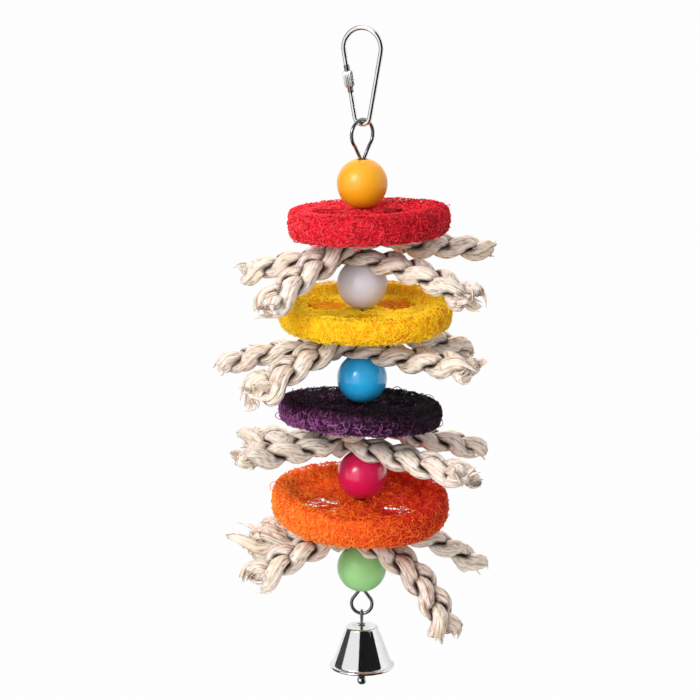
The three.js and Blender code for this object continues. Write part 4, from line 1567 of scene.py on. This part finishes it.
class TOY_OT_bell(Operator):
    """Spin the bell, bend its hanger and hang the clapper"""

    bl_idname = "toy.bell"
    bl_label = "Bell"

    def execute(self, context):
        settings = context.scene.toy_metal
        chrome = plated("bell_chrome", settings.chrome, CHROME_ROUGHNESS)
        # The hanger takes the wire's darker colour, painted shade for the dark that it mirrors
        steel = plated("hanger_steel", settings.wire, WIRE_ROUGHNESS)
        pivot = joint_at("bell_swing")
        turn = joint_turn("bell_swing")
        shell = new_piece("bell_cup", turned_mesh("bell_cup", self.cup(), BELL_SIDES, pivot))
        shell.data.materials.append(chrome)
        seat(shell, "bell", "bell_chrome", "bell_shell")
        bent = [pivot + point for point in in_plane(self.hanger(), turn + pi / 2)]
        hanger = wire_piece("bell_wire", [bent], HANGER_WIRE, steel, settings.sides)
        seat(hanger, "bell", "wire_steel", "bell_hanger")
        clapper = self.clapper(chrome, turn)
        seat(clapper, "clapper", "bell_chrome", "bell_clapper")
        return {"FINISHED"}

    def cup(self):
        """The bell's wall, as a closed profile below the pivot."""
        crown = BELL_CROWN_D / 2
        hole = (HANGER_WIRE + HANGER_STRAND_SPACE) / 2 + HANGER_WIRE / 2 + SEAT_GAP
        top = -HANGER_DROP
        lip = top - BELL_HEIGHT + BELL_LIP_HEIGHT
        shoulder = arc(crown - BELL_SHOULDER, top - BELL_SHOULDER, BELL_SHOULDER, pi / 2, 0, BELL_STEPS)
        curl = BELL_MOUTH_D / 2 - BELL_RIM
        drop = BELL_LIP_HEIGHT - 2 * BELL_RIM
        angles = [pi / 2 * i / BELL_STEPS for i in range(BELL_STEPS + 1)]
        flare = [(curl - (BELL_LIP_FLARE - BELL_RIM) * cos(a), lip - drop * sin(a)) for a in angles]
        rim = arc(curl, lip - BELL_LIP_HEIGHT + BELL_RIM, BELL_RIM, pi / 3, -pi / 2, BELL_RIM_STEPS)
        inner = crown - BELL_WALL
        return [
            (hole, top),
            *shoulder,
            *flare,
            *rim,
            *((x - BELL_WALL, z) for x, z in reversed(flare[:-1])),
            (inner, top - BELL_SHOULDER),
            (inner - BELL_CROWN_EASE, top - BELL_WALL),
            (hole, top - BELL_WALL),
        ]

    def hanger(self):
        """A loop through the wire's eye, two strands through the crown, a foot under it and a hook."""
        strand = (HANGER_WIRE + HANGER_STRAND_SPACE) / 2
        loop = WIRE_D / 2 + SEAT_GAP + HANGER_WIRE / 2
        crown = -HANGER_DROP
        level = crown - BELL_WALL - SEAT_GAP - HANGER_WIRE / 2
        round_in = HANGER_WIRE / 2
        hook = crown - HOOK_DROP + HOOK_RADIUS
        return [
            (strand + HANGER_FOOT, level),
            *arc(strand + round_in, level + round_in, round_in, -pi / 2, -pi, HANGER_FOOT_STEPS),
            (strand, crown),
            *bend(0, loop, 0, pi),
            (-strand, crown),
            (-strand, level),
            *bend(hook, HOOK_RADIUS, pi, tau + HOOK_CURL),
        ]

    def clapper(self, chrome, turn):
        pivot = joint_at("clapper_swing")
        ring = HANGER_WIRE / 2 + SEAT_GAP + CLAPPER_WIRE / 2 - CLAPPER_RING
        ball = pivot + Vector((0, 0, -CLAPPER_LENGTH + CLAPPER_BALL_D / 2))
        loop = in_plane(bend(ring, CLAPPER_RING, -pi / 2, 1.5 * pi), turn)
        rows = [[pivot + point for point in loop], [pivot + Vector((0, 0, ring - CLAPPER_RING)), ball]]
        wires = wire_piece("clapper_wires", rows, CLAPPER_WIRE, chrome, CLAPPER_SIDES)
        sphere = bpy.data.meshes.new("clapper_ball")
        with editing(sphere) as work:
            bmesh.ops.create_uvsphere(
                work,
                u_segments=CLAPPER_BALL_SIDES[0],
                v_segments=CLAPPER_BALL_SIDES[1],
                radius=CLAPPER_BALL_D / 2,
                matrix=Matrix.Translation(ball),
            )
        clapper = joined("clapper", [wires.data, sphere])
        bpy.data.objects.remove(wires)
        clapper.data.materials.append(chrome)
        return clapper


# Stage

MIDDLE = Vector((0, 0, -0.13))
SENSOR_WIDTH = 36
CLIP_END = 100
FLOOR_SIZE = 12.0
FLOOR_GLOW = 0.97
CARD_STEP = 6
WHITE = (1.0, 1.0, 1.0, 1.0)

# Lamps: size, place, and whether shiny metal mirrors them
LAMPS = {
    "key": (0.5, (-0.75, -0.8, 0.55), True),
    "fill": (1.0, (-0.45, -1.05, 0.16), False),
    "top": (0.6, (0.1, -0.8, 0.75), False),
    "back": (1.0, (0.1, 1.0, 0.45), False),
}

# Cards round and under the toy: how light, between which azimuths, and the radius and height of both edges
CARDS = (
    ("card_right", 0.01, -14, 80, (0.9, -0.9), (0.9, 1.6)),
    ("card_far_right", 0.7, 80, 170, (0.9, -0.9), (0.9, 1.6)),
    ("card_left", 0.05, -128, -84, (0.9, -0.9), (0.9, 1.6)),
    ("card_low", 0.02, -180, 180, (0.02, -0.8), (0.88, -0.8)),
)


def seen_rays(tree):
    """Whether a ray comes from the camera or a mirroring surface, and all that a light path tells."""
    path = tree.nodes.new("ShaderNodeLightPath").outputs
    return maths(tree, "MAXIMUM", path["Is Camera Ray"], path["Is Glossy Ray"]), path


class TOY_OT_stage(Operator):
    """Lay the floor, set the light and place the camera"""

    bl_idname = "toy.stage"
    bl_label = "Stage"

    def execute(self, context):
        scene = context.scene
        settings = scene.toy_stage
        scene.view_settings.view_transform = "Standard"
        self.floor(settings)
        for name, level, first, last, low, high in CARDS:
            self.card(name, level, first, last, (low, high))
        for name, (size, place, mirrored) in LAMPS.items():
            self.lamp(name, getattr(settings, name), size, Vector(place)).visible_glossy = mirrored
        self.world(scene, settings)
        lens = bpy.data.cameras.new("camera")
        lens.lens = settings.lens
        lens.sensor_width = SENSOR_WIDTH
        lens.clip_end = CLIP_END
        camera = put("camera", lens)
        camera.location = settings.camera
        camera.rotation_euler = (pi / 2 - settings.tilt, 0, 0)
        scene.camera = camera
        return {"FINISHED"}

    def lamp(self, name, energy, size, place):
        """A soft square light that faces the toy."""
        lamp = bpy.data.lights.new(name, "AREA")
        lamp.energy = energy
        lamp.size = size
        light = put(name, lamp)
        light.location = place
        light.rotation_euler = (MIDDLE - place).to_track_quat("-Z", "Y").to_euler()
        return light

    def floor(self, settings):
        """A pale floor that looks white and still takes the toy's shadow."""
        mesh = bpy.data.meshes.new("floor")
        with editing(mesh) as work:
            place = Matrix.Translation((0, 0, -settings.floor_drop))
            bmesh.ops.create_grid(work, x_segments=1, y_segments=1, size=FLOOR_SIZE, matrix=place)
        material, tree, shader, _ = new_material("floor")
        shader.inputs["Base Color"].default_value = opaque(settings.floor)
        shader.inputs["Roughness"].default_value = 0.9
        glow = add(tree, "ShaderNodeEmission", {"Color": WHITE, "Strength": 1.0})
        share = maths(tree, "MULTIPLY", seen_rays(tree)[0], FLOOR_GLOW)
        mix = add(tree, "ShaderNodeMixShader", {0: share, 1: shader.outputs[0], 2: glow.outputs[0]})
        tree.links.new(mix.outputs[0], tree.nodes["Material Output"].inputs["Surface"])
        mesh.materials.append(material)
        put("floor", mesh)

    def card(self, name, level, first, last, edges):
        """A card that only shiny surfaces see, which gives metal its dark stripes."""
        material, _, shader, _ = new_material(name)
        shader.inputs["Base Color"].default_value = opaque((level, level, level))
        shader.inputs["Roughness"].default_value = 1.0
        shader.inputs["Specular IOR Level"].default_value = 0.0
        steps = ceil((last - first) / CARD_STEP)
        angles = [radians(first + (last - first) * i / steps) for i in range(steps + 1)]
        points = [(radius * sin(a), -radius * cos(a), height) for a in angles for radius, height in edges]
        faces = [(n, n + 2, n + 3, n + 1) for n in range(0, 2 * steps, 2)]
        mesh = mesh_of(name, points, faces)
        mesh.materials.append(material)
        card = put(name, mesh)
        card.visible_camera = False
        card.visible_diffuse = False
        card.visible_shadow = False
        card.visible_transmission = False

    def world(self, scene, settings):
        """An even sky, which is white where it is seen."""
        world = bpy.data.worlds.new("studio")
        scene.world = world
        world.use_nodes = True
        tree = world.node_tree
        seen, path = seen_rays(tree)
        shown = maths(tree, "MAXIMUM", seen, path["Is Transmission Ray"])
        sky = tree.nodes["Background"]
        sky.inputs["Color"].default_value = WHITE
        tree.links.new(ranged(tree, shown, settings.sky, 1.0), sky.inputs["Strength"])


# Panel and registration


STEPS = (
    TOY_OT_quick_link,
    TOY_OT_centre_wire,
    TOY_OT_beads,
    TOY_OT_loofah_slices,
    TOY_OT_husk_braids,
    TOY_OT_bell,
    TOY_OT_stage,
)


class TOY_PT_panel(Panel):
    """Steps that dress the toy"""

    bl_idname = "TOY_PT_panel"
    bl_label = "Loofah Bird Toy"
    bl_space_type = "VIEW_3D"
    bl_region_type = "UI"
    bl_category = "Bird Toy"

    def draw(self, context):
        for step in STEPS:
            self.layout.operator(step.bl_idname)


SETTINGS = {
    "toy_metal": ToyMetalSettings,
    "toy_beads": ToyBeadSettings,
    "toy_loofah": ToyLoofahSettings,
    "toy_braids": ToyBraidSettings,
    "toy_stage": ToyStageSettings,
}
CLASSES = (*SETTINGS.values(), *STEPS, TOY_PT_panel)


def register():
    for kind in CLASSES:
        bpy.utils.register_class(kind)
    for name, kind in SETTINGS.items():
        setattr(bpy.types.Scene, name, PointerProperty(type=kind))


def unregister():
    for name in SETTINGS:
        delattr(bpy.types.Scene, name)
    for kind in reversed(CLASSES):
        bpy.utils.unregister_class(kind)


def main():
    register()
    bpy.ops.toy.quick_link()
    bpy.ops.toy.centre_wire()
    bpy.ops.toy.beads()
    bpy.ops.toy.loofah_slices()
    bpy.ops.toy.husk_braids()
    bpy.ops.toy.bell()
    bpy.ops.toy.stage()


if __name__ == "__main__":
    main()
